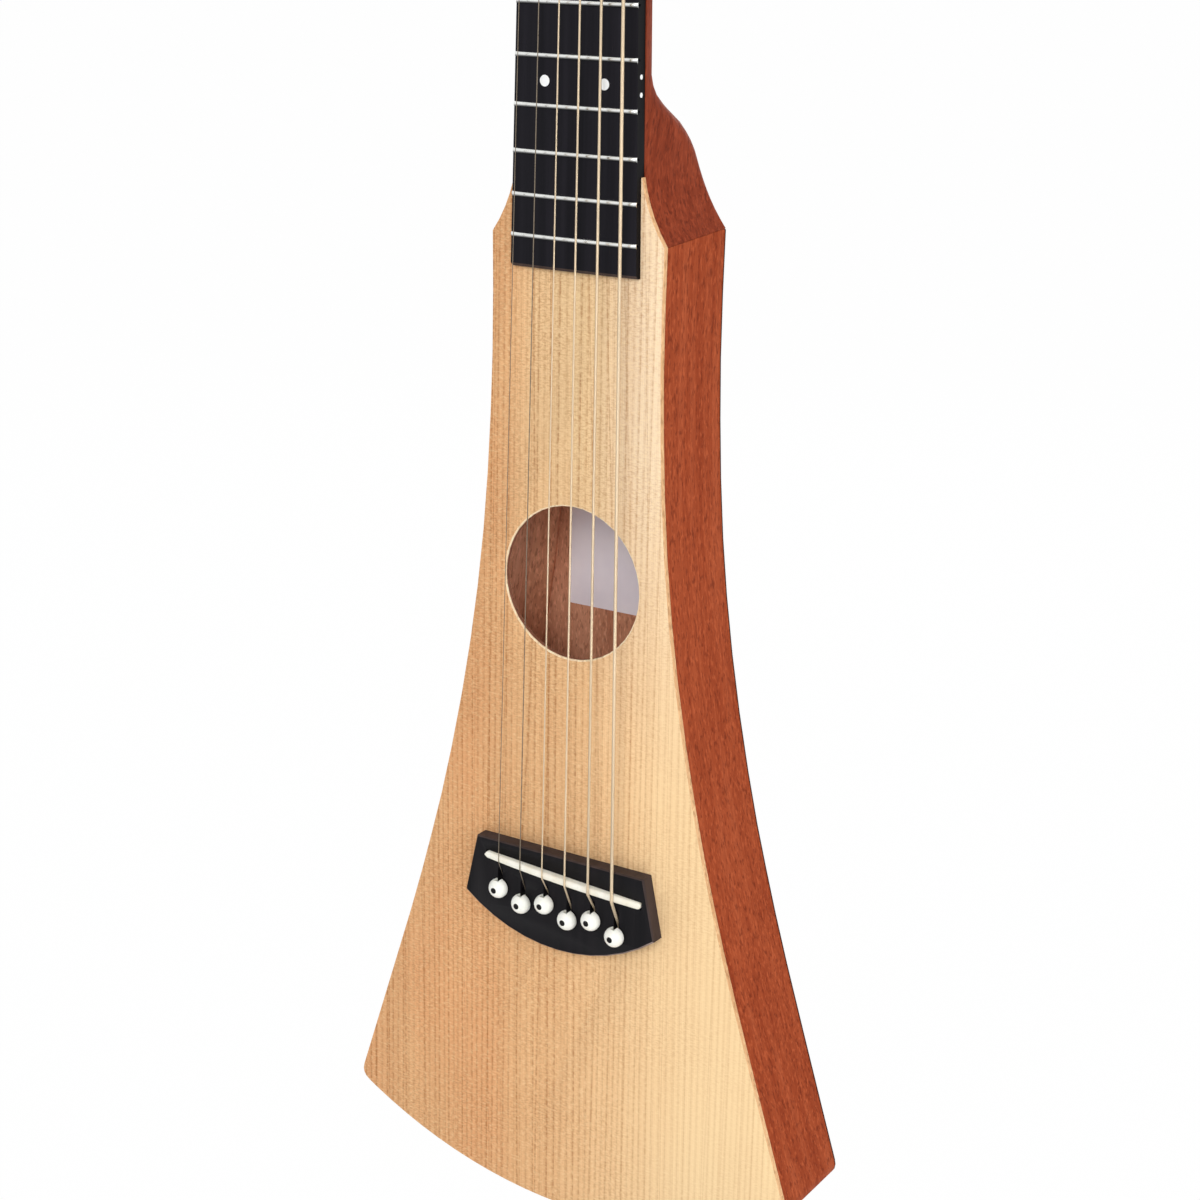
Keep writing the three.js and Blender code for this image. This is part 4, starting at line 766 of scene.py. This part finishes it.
def fret_wire_pattern():
    """One straight wire of half length 1 along x becomes a crowned wire at each fret."""
    p = Pattern("fret_wires", Count=FRETS, ScaleLength=SCALE_LENGTH * MM,
                HangerAboveNut=HANGER_ABOVE_NUT * MM, NutWidth=NUT_WIDTH * MM,
                WidthGain=(OCTAVE_WIDTH - NUT_WIDTH) * MM, CrownRadius=CROWN_RADIUS * MM,
                BoardThickness=BOARD_THICKNESS * MM, EndBevel=FRET_BEVEL * MM, EndHeight=FRET_END_SHARE)
    scale, radius, end_height = (p.inputs[name] for name in ("ScaleLength", "CrownRadius", "EndHeight"))
    line = p.add("GeometryNodeMeshLine", {"Count": p.inputs["Count"], "Offset": (0, 0, 0)})
    wires = p.copies(line, p.inputs["Geometry"])
    octaves = p.maths("DIVIDE", p.maths("ADD", p.add("GeometryNodeInputIndex"), 1.0), -float(OCTAVE))
    place = p.maths("MULTIPLY", scale, p.maths("SUBTRACT", 1.0, p.maths("POWER", 2.0, octaves)))
    named = p.add("GeometryNodeStoreNamedAttribute", {"Geometry": wires, "Name": "place", "Value": place},
                  data_type="FLOAT", domain="INSTANCE")
    solid = p.add("GeometryNodeRealizeInstances", {"Geometry": named})
    below = p.add("GeometryNodeInputNamedAttribute", {"Name": "place"}, data_type="FLOAT")
    at = p.add("GeometryNodeInputPosition")
    unit = [p.add("ShaderNodeSeparateXYZ", {0: at}, output=axis) for axis in "XYZ"]
    octave_share = p.maths("DIVIDE", below, p.maths("MULTIPLY", scale, 0.5))
    gain = p.maths("MULTIPLY", p.inputs["WidthGain"], octave_share)
    half = p.maths("DIVIDE", p.maths("ADD", p.inputs["NutWidth"], gain), 2.0)
    x = p.maths("MULTIPLY", unit[0], half)
    to_end = p.maths("DIVIDE", p.maths("SUBTRACT", half, p.maths("ABSOLUTE", x)), p.inputs["EndBevel"])
    rise = p.maths("MULTIPLY", to_end, p.maths("SUBTRACT", 1.0, end_height))
    share = p.maths("MINIMUM", 1.0, p.maths("ADD", end_height, rise))
    squares = p.maths("SUBTRACT", p.maths("MULTIPLY", radius, radius), p.maths("MULTIPLY", x, x))
    drop = p.maths("SUBTRACT", radius, p.maths("SQRT", squares))
    surface = p.maths("SUBTRACT", drop, p.inputs["BoardThickness"])
    y = p.maths("ADD", surface, p.maths("MULTIPLY", unit[1], share))
    z = p.maths("SUBTRACT", unit[2], p.maths("ADD", p.inputs["HangerAboveNut"], below))
    moved = p.add("GeometryNodeSetPosition", {"Geometry": solid, "Position": p.vector(x=x, y=y, z=z)})
    return p.finish(moved)


def fret_wires():
    """Nickel wires with a round crown, bevelled at both ends."""
    half_width, height, buried, crown_steps = 0.98, 1.0, 0.06, 12
    crown = []
    for step in range(crown_steps + 1):
        turn = math.pi * step / crown_steps
        crown.append((half_width * math.cos(turn), -height * math.sin(turn)))
    section = [(half_width, buried)] + crown + [(-half_width, buried)]
    # Places along the wire, as shares of its half length: even in the middle, closer at the bevels
    even_share, bevel_share, even_steps = 0.9, 0.964, 8
    middle = [step / even_steps * even_share for step in range(-even_steps, even_steps + 1)]
    stations = [-1, -bevel_share] + middle + [bevel_share, 1]
    unit_length = 1 / MM
    points = [(station * unit_length, y, z) for station in stations for z, y in section]
    faces = loft_faces(len(stations), len(section))
    piece = fret_wire_pattern().made("fret_wires", points, faces, "fret_wire", crease=35)
    face_outwards(piece.data)
    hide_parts(*[f"fret_{number}" for number in range(1, FRETS + 1)])
    ride_on(piece, "guitar")


def disc_pattern():
    """A flat round inlay at every point of a mesh."""
    p = Pattern("inlays", Radius=0.0021, Depth=0.00012, TurnX=0.0, TurnY=0.0)
    disc = p.add("GeometryNodeMeshCylinder",
                 {"Vertices": 32, "Radius": p.inputs["Radius"], "Depth": p.inputs["Depth"]})
    turn = p.vector(x=p.inputs["TurnX"], y=p.inputs["TurnY"])
    return p.finish(p.copies(p.inputs["Geometry"], disc, Rotation=turn))


def position_dots():
    """White dots between frets, a pair before the octave, and small ones on the board's edge."""
    pair_x, edge_y, edge_spread, edge_radius = 13, -2.6, 3.2, 0.9
    quarter = math.radians(90)
    singles = [(fret_place(n) + fret_place(n - 1)) / 2 for n in (3, 5, 7, 9)]
    octave = (fret_place(OCTAVE) + fret_place(OCTAVE - 1)) / 2
    places = [(0, place) for place in singles] + [(-pair_x, octave), (pair_x, octave)]
    points = [(x, board_surface(x), down(place)) for x, place in places]
    dots = disc_pattern().made("board_dots", points, [], "pearl", TurnX=quarter)
    ride_on(dots, "guitar")
    edge_places = singles + [octave - edge_spread, octave + edge_spread]
    edge = [(board_half_width(place), edge_y, down(place)) for place in edge_places]
    side = disc_pattern().made("side_dots", edge, [], "pearl", TurnY=quarter, Radius=edge_radius * MM)
    ride_on(side, "guitar")


def screw_pattern():
    """A low round head with a cross recess at every point of a mesh, each at a turn of its own."""
    face_share, recess_length_share, recess_width_share = 0.62, 1.05, 0.24
    p = Pattern("screws", Radius=0.0019, Height=0.0011, TurnX=0.0, SpinY=1.0, SpinZ=0.0, Seed=7)
    radius, height = p.inputs["Radius"], p.inputs["Height"]
    face_radius = p.maths("MULTIPLY", radius, face_share)
    head = p.add("GeometryNodeMeshCone", {"Vertices": 28, "Radius Top": face_radius, "Radius Bottom": radius,
                                          "Depth": height})
    long_side = p.maths("MULTIPLY", radius, recess_length_share)
    short_side = p.maths("MULTIPLY", radius, recess_width_share)
    sizes = [p.vector(x=a, y=b, z=height) for a, b in ((long_side, short_side), (short_side, long_side))]
    arms = [p.add("GeometryNodeMeshCube", {"Size": size}) for size in sizes]
    joined = p.add("GeometryNodeMeshBoolean", {"Mesh 2": arms}, operation="UNION", solver="EXACT")
    cross = p.add("GeometryNodeTransform", {"Geometry": joined, "Translation": p.vector(z=height)})
    cut = p.add("GeometryNodeMeshBoolean", {"Mesh 1": head, "Mesh 2": cross}, operation="DIFFERENCE",
                solver="EXACT")
    spin = p.add("FunctionNodeRandomValue", {"Max": 2 * math.pi, "Seed": p.inputs["Seed"]}, data_type="FLOAT")
    spins = [p.maths("MULTIPLY", spin, p.inputs[name]) for name in ("SpinY", "SpinZ")]
    turn = p.vector(x=p.inputs["TurnX"], y=spins[0], z=spins[1])
    return p.finish(p.copies(p.inputs["Geometry"], cut, Rotation=turn))


def screws():
    """Three screws in each tuner plate, and one in the strap button."""
    before_first, past_machine, head_lift = 7.8, 19.5, 0.4
    strap_radius, strap_height, strap_sink = 3, 1.2, 0.3
    heights = [FIRST_MACHINE - before_first]
    heights += [FIRST_MACHINE + row * MACHINE_SPACING + past_machine for row in (0, 1)]
    places = [(hand * POST_INSET, PLATE_BACK + head_lift, z) for hand in (-1, 1) for z in heights]
    plate_screws = screw_pattern().made("plate_screws", places, [], "nickel", crease=25,
                                        TurnX=math.radians(-90))
    plate_screws.data.transform(in_metres(HEAD))
    ride_on(plate_screws, "guitar")
    strap_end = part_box("strap_button")[0][2] / MM
    place = (0, RIM_DEPTH / 2, strap_end - strap_sink)
    strap_screw = screw_pattern().made("strap_screw", [place], [], "nickel", crease=25,
                                       TurnX=math.radians(180), SpinY=0.0, SpinZ=1.0,
                                       Radius=strap_radius * MM, Height=strap_height * MM)
    ride_on(strap_screw, "guitar")


def ferrule_pattern():
    """Copies of one bushing, three a side along the headstock."""
    p = Pattern("ferrules", Count=len(STRINGS), PostInset=POST_INSET * MM, FirstMachine=FIRST_MACHINE * MM,
                MachineSpacing=MACHINE_SPACING * MM)
    line = p.add("GeometryNodeMeshLine", {"Count": p.inputs["Count"], "Offset": (0, 0, 0)})
    index = p.add("GeometryNodeInputIndex")
    hand = p.maths("SUBTRACT", p.maths("MULTIPLY", p.maths("MODULO", index, 2.0), 2.0), 1.0)
    row = p.maths("FLOOR", p.maths("DIVIDE", index, 2.0))
    x = p.maths("MULTIPLY", hand, p.inputs["PostInset"])
    z = p.maths("ADD", p.inputs["FirstMachine"], p.maths("MULTIPLY", row, p.inputs["MachineSpacing"]))
    points = p.add("GeometryNodeSetPosition", {"Geometry": line, "Position": p.vector(x=x, z=z)})
    return p.finish(p.copies(points, p.inputs["Geometry"]))


def ferrules():
    """A nickel bushing round each post, seated on the headstock's face."""
    bore, sleeve, flange, sunk, segments = 3.12, 3.27, 5.1, 2.6, 40
    profile = [(bore, -sunk), (sleeve, -sunk), (sleeve, 0.0), (flange, 0.0), (flange, 0.45),
               (flange - 0.35, 0.8), (4.2, 0.95), (3.6, 1.15), (3.3, 1.15), (bore, 0.95)]
    rings = lathe_rings(profile, segments)
    faces = loft_faces(len(profile), segments, close_ends=False)
    last = (len(profile) - 1) * segments
    for step in range(segments):
        after = (step + 1) % segments
        faces.append((last + step, last + after, after, step))
    piece = ferrule_pattern().made("post_ferrules", rings, faces, "nickel", crease=40)
    face_outwards(piece.data)
    piece.data.transform(in_metres(HEAD))
    ride_on(piece, "guitar")


def smooth_outline(outline, steps):
    """An outline with a smooth curve through all its points but the first and the last."""
    points = [Vector(point) for point in outline]
    curve = [outline[0]]
    for before, near, far, after in zip(points, points[1:], points[2:], points[3:]):
        for step in range(steps):
            t = step / steps
            square = (2 * before - 5 * near + 4 * far - after) * t * t
            cube = (3 * near - before - 3 * far + after) * t ** 3
            curve.append(tuple(0.5 * (2 * near + (far - before) * t + square + cube)))
    return curve + [outline[-2]]


def button_caps():
    """A smooth polished paddle over each tuning button, with an oval section."""
    half_width, half_thickness, over_solid, shaft_height = 8.5, 3.25, 0.1, 4
    start = HEAD_SHOULDER_HALF_WIDTH - POST_INSET + BUTTON_GAP + BUTTON_COLLAR - BUTTON_OVERLAP
    outline = [(0, 0.02), (0, 0.3), (0.16, 0.62), (0.38, 0.93), (0.6, 1), (0.8, 0.86), (0.94, 0.5),
               (1, 0.02)]
    fine = smooth_outline(outline, 4) + [(0.985, 0.26), outline[-1]]
    segments = 36
    for index in range(len(STRINGS)):
        hand, x, z = machine_place(index)
        rings = []
        for along, share in fine:
            past_solid = over_solid if along > 0 else -over_solid
            reach = x + hand * (start + along * BUTTON_LENGTH + past_solid)
            for step in range(segments):
                turn = 2 * math.pi * step / segments
                wide = (half_width * share + over_solid) * math.cos(turn)
                thick = (half_thickness * share + over_solid) * math.sin(turn)
                depth = PLATE_BACK + shaft_height + thick
                rings.append(HEAD @ Vector((reach, depth, z + WORM_OFFSET + wide)))
        piece = new_piece(f"button_cap_{index + 1}", rings, loft_faces(len(fine), segments), "nickel",
                          body=BODY_OF[f"tuning_button_{index + 1}"], crease=60)
        face_outwards(piece.data)


# Strings, saddle, pins and label


def string_share(index):
    return index / (len(STRINGS) - 1) - 0.5


def saddle_below_nut(x):
    return SCALE_LENGTH + SADDLE_SET_BACK + SADDLE_SLANT * x


def pin_place(index):
    x = string_share(index) * PIN_SPREAD
    return x, down(saddle_below_nut(x) + PINS_BELOW_SADDLE[index % 2])


def nut_points(index):
    """Where a string enters the nut's slot and where it leaves it."""
    x = string_share(index) * NUT_STRING_SPREAD
    y = board_surface(x) - NUT_SLOT_HEIGHT - STRINGS[index] / 2
    return Vector((x, y, down(0))), Vector((x, y + NUT_SLOT_SLOPE * NUT_THICKNESS, HEAD_PIVOT))


def ball_place(index):
    """The middle of a string's ball end, under the bridge plate."""
    x, z = pin_place(index)
    return Vector((x, BRIDGE_PLATE_THICKNESS + SEAT_GAP + BALL_RADIUS, z + BALL_OFFSET))


def string_route(index):
    """A string's middle line from its ball end to the end of its winding, in millimetres."""
    radius = STRINGS[index] / 2
    x, z = pin_place(index)
    in_hole = z + PIN_HOLE - STRING_CLEARANCE - radius
    over_saddle = string_share(index) * SADDLE_STRING_SPREAD
    crest = board_surface(over_saddle) - SADDLE_CREST_ABOVE_BOARD - radius - STRING_CLEARANCE
    crest_back = down(saddle_below_nut(over_saddle)) - SADDLE_THICKNESS * SADDLE_CREST_SHARE / 2
    start, end = nut_points(index)
    route = [
        ball_place(index),
        Vector((x, BRIDGE_PLATE_THICKNESS + STRING_BELOW_PLATE, in_hole)),
        Vector((x, BRIDGE_FACE + STRING_RAMP_DEPTH, in_hole)),
        Vector((over_saddle, crest, crest_back)),
        start,
        end,
    ]
    hand, post_x, post_z = machine_place(index)
    turn_radius = POST_WAIST_RADIUS + WINDING_CLEARANCE + radius
    pitch = STRINGS[index] + WINDING_GAP
    lead = HEAD.inverted() @ end
    reach = math.hypot(lead.x - post_x, lead.z - post_z)
    tangent = math.atan2(lead.z - post_z, lead.x - post_x) - hand * math.acos(turn_radius / reach)
    for step in range(int(WINDING_TURNS * WINDING_STEPS) + 1):
        turns = step / WINDING_STEPS
        angle = tangent - hand * 2 * math.pi * turns
        height = POST_HOLE_HEIGHT - (WINDING_TURNS - turns) * pitch
        across, along = turn_radius * math.cos(angle), turn_radius * math.sin(angle)
        route.append(HEAD @ Vector((post_x + across, -height, post_z + along)))
    return route


def tube(name, route, radius, finish, sides=10):
    """A closed round tube along a route, with its length in u for winding patterns."""
    legs = [(b - a).normalized() for a, b in zip(route, route[1:])]
    across, rings, lengths, length = Vector((1, 0, 0)), [], [], 0.0
    for i, point in enumerate(route):
        along = (legs[max(i - 1, 0)] + legs[min(i, len(legs) - 1)]).normalized()
        across = (across - along * across.dot(along)).normalized()
        above = along.cross(across)
        length += (point - route[i - 1]).length if i else 0.0
        lengths.append(length)
        for side in range(sides):
            turn = 2 * math.pi * side / sides
            rings.append(point + (across * math.cos(turn) + above * math.sin(turn)) * radius)
    piece = new_piece(name, rings, loft_faces(len(route), sides), finish, crease=70)
    layer = piece.data.uv_layers.new(name="length")
    for face in piece.data.polygons:
        for loop in face.loop_indices:
            vertex = piece.data.loops[loop].vertex_index
            layer.data[loop].uv = (lengths[vertex // sides] * MM, (vertex % sides) / sides)
    return piece


def strings():
    """Each string as one wire to its post, and its ball end as a turned barrel with eased rims."""
    half_length, eased, segments = 1.6, 0.4, 20
    profile = [(0.01, -half_length), (BALL_RADIUS - eased, -half_length), (BALL_RADIUS, eased - half_length)]
    profile += [(radius, -distance) for radius, distance in reversed(profile)]
    for index, diameter in enumerate(STRINGS):
        finish = "steel" if index < PLAIN_STRINGS else "bronze"
        piece = tube(f"string_{index + 1}_wire", string_route(index), diameter / 2, finish)
        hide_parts(f"string_{index + 1}")
        ball = lathe_rings(profile, segments, ball_place(index), along=(1, 0, 0), across=(0, 1, 0))
        new_piece(f"ball_end_{index + 1}", ball, loft_faces(len(profile), segments), "bronze")


def saddle_bar():
    """The slanted bone saddle with round ends and a softened crest."""
    in_slot, softened, least_width = 3.5, 0.9, 0.12
    half, wide, foot = SADDLE_LENGTH / 2, SADDLE_THICKNESS / 2, BRIDGE_FACE + in_slot
    slant = math.atan(SADDLE_SLANT)
    middle = Vector((SADDLE_OFFSET, 0, down(saddle_below_nut(SADDLE_OFFSET))))
    straight = half - wide
    stations = [straight + wide * math.sin(math.radians(a)) for a in (90, 70, 50, 30, 12)]
    stations = [-x for x in stations] + [x * straight / 10 for x in range(-10, 11)] + stations[::-1]
    # The section's rounded corners, as shares of its width and of the softened height
    corner = [(math.cos(math.radians(a)), 1 - math.sin(math.radians(a))) for a in (25, 50, 72)]
    across, along = math.cos(slant), math.sin(slant)
    rings = []
    for x in stations:
        past = max(abs(x) - straight, 0)
        w = max(math.sqrt(max(wide ** 2 - past ** 2, 0)), least_width)
        crest = board_surface(x + SADDLE_OFFSET) - SADDLE_CREST_ABOVE_BOARD
        ring = [(foot, -w), (crest + softened, -w)]
        ring += [(crest + softened * drop, -w * share) for share, drop in corner]
        ring += [(crest + softened * drop, w * share) for share, drop in reversed(corner)]
        ring += [(crest + softened, w), (foot, w)]
        for y, z in ring:
            rings.append(middle + Vector((x * across + z * along, y, z * across - x * along)))
    faces = loft_faces(len(stations), len(rings) // len(stations))
    piece = new_piece("saddle_bar", rings, faces, "ivory", crease=45)
    face_outwards(piece.data)
    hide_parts("saddle")


def bridge_pins():
    """White pins with round heads, a black dot in each, and a notch towards the string."""
    seat, head, high, collar = BRIDGE_FACE - REST_GAP, 4.2, 5.0, 1.3
    tip, tip_radius, tip_eased, dot = BRIDGE_PLATE_THICKNESS + PIN_BELOW_PLATE, 1.9, 0.4, 1.25
    groove_half, groove_floor, groove_depth, segments = 0.88, 0.9, 2.2, 48
    dome = []
    for angle in (-14, 0, 14, 28, 41, 53, 63, 71):
        turn = math.radians(angle)
        dome.append((head * math.cos(turn), seat - collar - (high - collar) * math.sin(turn)))
    profile = [(0.02, tip), (tip_radius - tip_eased, tip), (tip_radius, tip - tip_eased), (2.5, seat),
               (3.1, seat), (3.2, seat - 0.3)] + dome
    dot_profile = [(dot, seat - high + 0.09), (dot - 0.08, seat - high + 0.16), (0.02, seat - high + 0.14)]
    profile = [(radius, -distance) for radius, distance in profile + dot_profile]
    dot_from = (len(profile) - len(dot_profile)) * segments
    for index in range(len(STRINGS)):
        x, z = pin_place(index)
        rings = lathe_rings(profile, segments, (x, 0, z), across=(0, 0, 1))
        for point in rings:
            in_groove = point.z - z > groove_floor and abs(point.x - x) < groove_half
            if in_groove and point.y > seat - groove_depth:
                point.z = z + groove_floor
        faces = loft_faces(len(profile), segments)
        piece = new_piece(f"bridge_pin_{index + 1}_turned", rings, faces, "pin",
                          crease=50)
        piece.data.materials.append(FINISHES["dot"])
        for face in piece.data.polygons:
            if min(face.vertices) >= dot_from:
                face.material_index = 1
        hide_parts(f"bridge_pin_{index + 1}")


def bare_label():
    """A plain paper label glued inside the back, with nothing on it."""
    left, right, low, high = -28.4, 31.6, down(511), down(463)
    glue, thickness = 0.04, 0.16
    front, back = RIM_DEPTH - glue - thickness, RIM_DEPTH - glue
    corners = ((left, low), (right, low), (right, high), (left, high))
    points = [(x, y, z) for y in (front, back) for x, z in corners]
    piece = new_piece("bare_label", points, loft_faces(2, len(corners)), "paper", smooth=False)
    face_outwards(piece.data)


# Studio

FLOOR_LEVEL = -1.05
FLOOR_REACH = 30.0
# The share of plain white in the floor that the camera sees, the rest of it taking the shadows
FLOOR_GLOW = 0.985
LAMP_AIM = (0.0, 0.0, -0.45)
# The photograph's camera: place and aim in millimetres, roll, lens and frame width
EYE = (461.99, -716.17, -251.18)
AIM = (15.16, -5.0, -505.06)
ROLL = math.radians(1.16)
LENS = 67.89
FRAME_WIDTH = 36


def maths_node(tree, operation, first, second):
    node = tree.nodes.new("ShaderNodeMath")
    node.operation = operation
    tree.links.new(first, node.inputs[0])
    if isinstance(second, bpy.types.NodeSocket):
        tree.links.new(second, node.inputs[1])
    else:
        node.inputs[1].default_value = second
    return node.outputs[0]


def either_ray(tree, *kinds):
    """1 where a ray is of one of the kinds named."""
    rays = tree.nodes.new("ShaderNodeLightPath").outputs
    seen = rays[kinds[0]]
    for kind in kinds[1:]:
        seen = maths_node(tree, "MAXIMUM", seen, rays[kind])
    return seen


def mixed_shader(tree, share, first, second):
    mix = tree.nodes.new("ShaderNodeMixShader")
    for socket, value in zip(mix.inputs, (share, first, second)):
        tree.links.new(value, socket)
    return mix.outputs[0]


def background(tree, colour, strength):
    node = tree.nodes.new("ShaderNodeBackground")
    node.inputs["Color"].default_value = (*colour, 1.0)
    node.inputs["Strength"].default_value = strength
    return node.outputs[0]


def studio():
    """Soft light from all round, and white behind for the camera and in reflections."""
    scene = bpy.context.scene
    scene.view_settings.view_transform = "Standard"
    world = bpy.data.worlds.new("studio_air")
    scene.world = world
    world.use_nodes = True
    tree = world.node_tree
    tree.nodes.clear()
    clear = either_ray(tree, "Is Camera Ray", "Is Glossy Ray", "Is Transmission Ray")
    soft = background(tree, (0.95, 0.97, 1.0), 0.5)
    white = background(tree, (1.0, 1.0, 1.0), 1.0)
    out = tree.nodes.new("ShaderNodeOutputWorld")
    tree.links.new(mixed_shader(tree, clear, soft, white), out.inputs["Surface"])


def lamp(name, place, size, power):
    light = bpy.data.lights.new(name, "AREA")
    light.shape = "SQUARE"
    light.size = size
    light.energy = power
    holder = placed(name, light)
    holder.location = place
    holder.rotation_euler = (Vector(LAMP_AIM) - Vector(place)).to_track_quat("-Z", "Y").to_euler()


def lamps():
    lamp("key_lamp", (0.75, -2.4, 0.8), 1.3, 34)
    lamp("side_lamp", (2.6, -0.6, 0.3), 1.6, 24)
    lamp("top_lamp", (0.2, 0.3, 2.2), 1.6, 11)
    lamp("rear_lamp", (-1.2, 2.4, 0.6), 1.8, 17)


def floor():
    """A plain pale floor that keeps the guitar's shadow."""
    mesh = bpy.data.meshes.new("floor")
    square = ((-1, -1), (1, -1), (1, 1), (-1, 1))
    corners = [(x * FLOOR_REACH, y * FLOOR_REACH, FLOOR_LEVEL) for x, y in square]
    mesh.from_pydata(corners, [], [(0, 1, 2, 3)])
    material = bpy.data.materials.new("pale_floor")
    material.use_nodes = True
    tree = material.node_tree
    shader = tree.nodes["Principled BSDF"]
    shader.inputs["Base Color"].default_value = (0.9, 0.9, 0.9, 1.0)
    shader.inputs["Roughness"].default_value = 0.8
    shader.inputs["Specular IOR Level"].default_value = 0.0
    glow = tree.nodes.new("ShaderNodeEmission")
    glow.inputs["Strength"].default_value = 1.0
    seen = either_ray(tree, "Is Camera Ray", "Is Glossy Ray")
    share = maths_node(tree, "MULTIPLY", seen, FLOOR_GLOW)
    surface = mixed_shader(tree, share, shader.outputs[0], glow.outputs[0])
    tree.links.new(surface, tree.nodes["Material Output"].inputs["Surface"])
    mesh.materials.append(material)
    placed("floor", mesh)


def camera():
    """The photograph's view: place, aim, a slight roll and the lens."""
    eye, aim = Vector(EYE) * MM, Vector(AIM) * MM
    forward = (aim - eye).normalized()
    level = forward.cross(Vector((0, 0, 1))).normalized()
    above = level.cross(forward)
    right = level * math.cos(ROLL) + above * math.sin(ROLL)
    up = above * math.cos(ROLL) - level * math.sin(ROLL)
    lens = bpy.data.cameras.new("photo_camera")
    lens.sensor_width = FRAME_WIDTH
    lens.lens = LENS
    lens.clip_start, lens.clip_end = 0.01, 100
    holder = placed("photo_camera", lens)
    holder.matrix_world = Matrix.Translation(eye) @ Matrix((right, up, -forward)).transposed().to_4x4()
    bpy.context.scene.camera = holder


camera()
studio()
lamps()
floor()
dress_body()
dress_neck()
dress_bridge()
dress_hardware()
fret_wires()
position_dots()
strings()
saddle_bar()
bridge_pins()
bare_label()
ferrules()
screws()
button_caps()
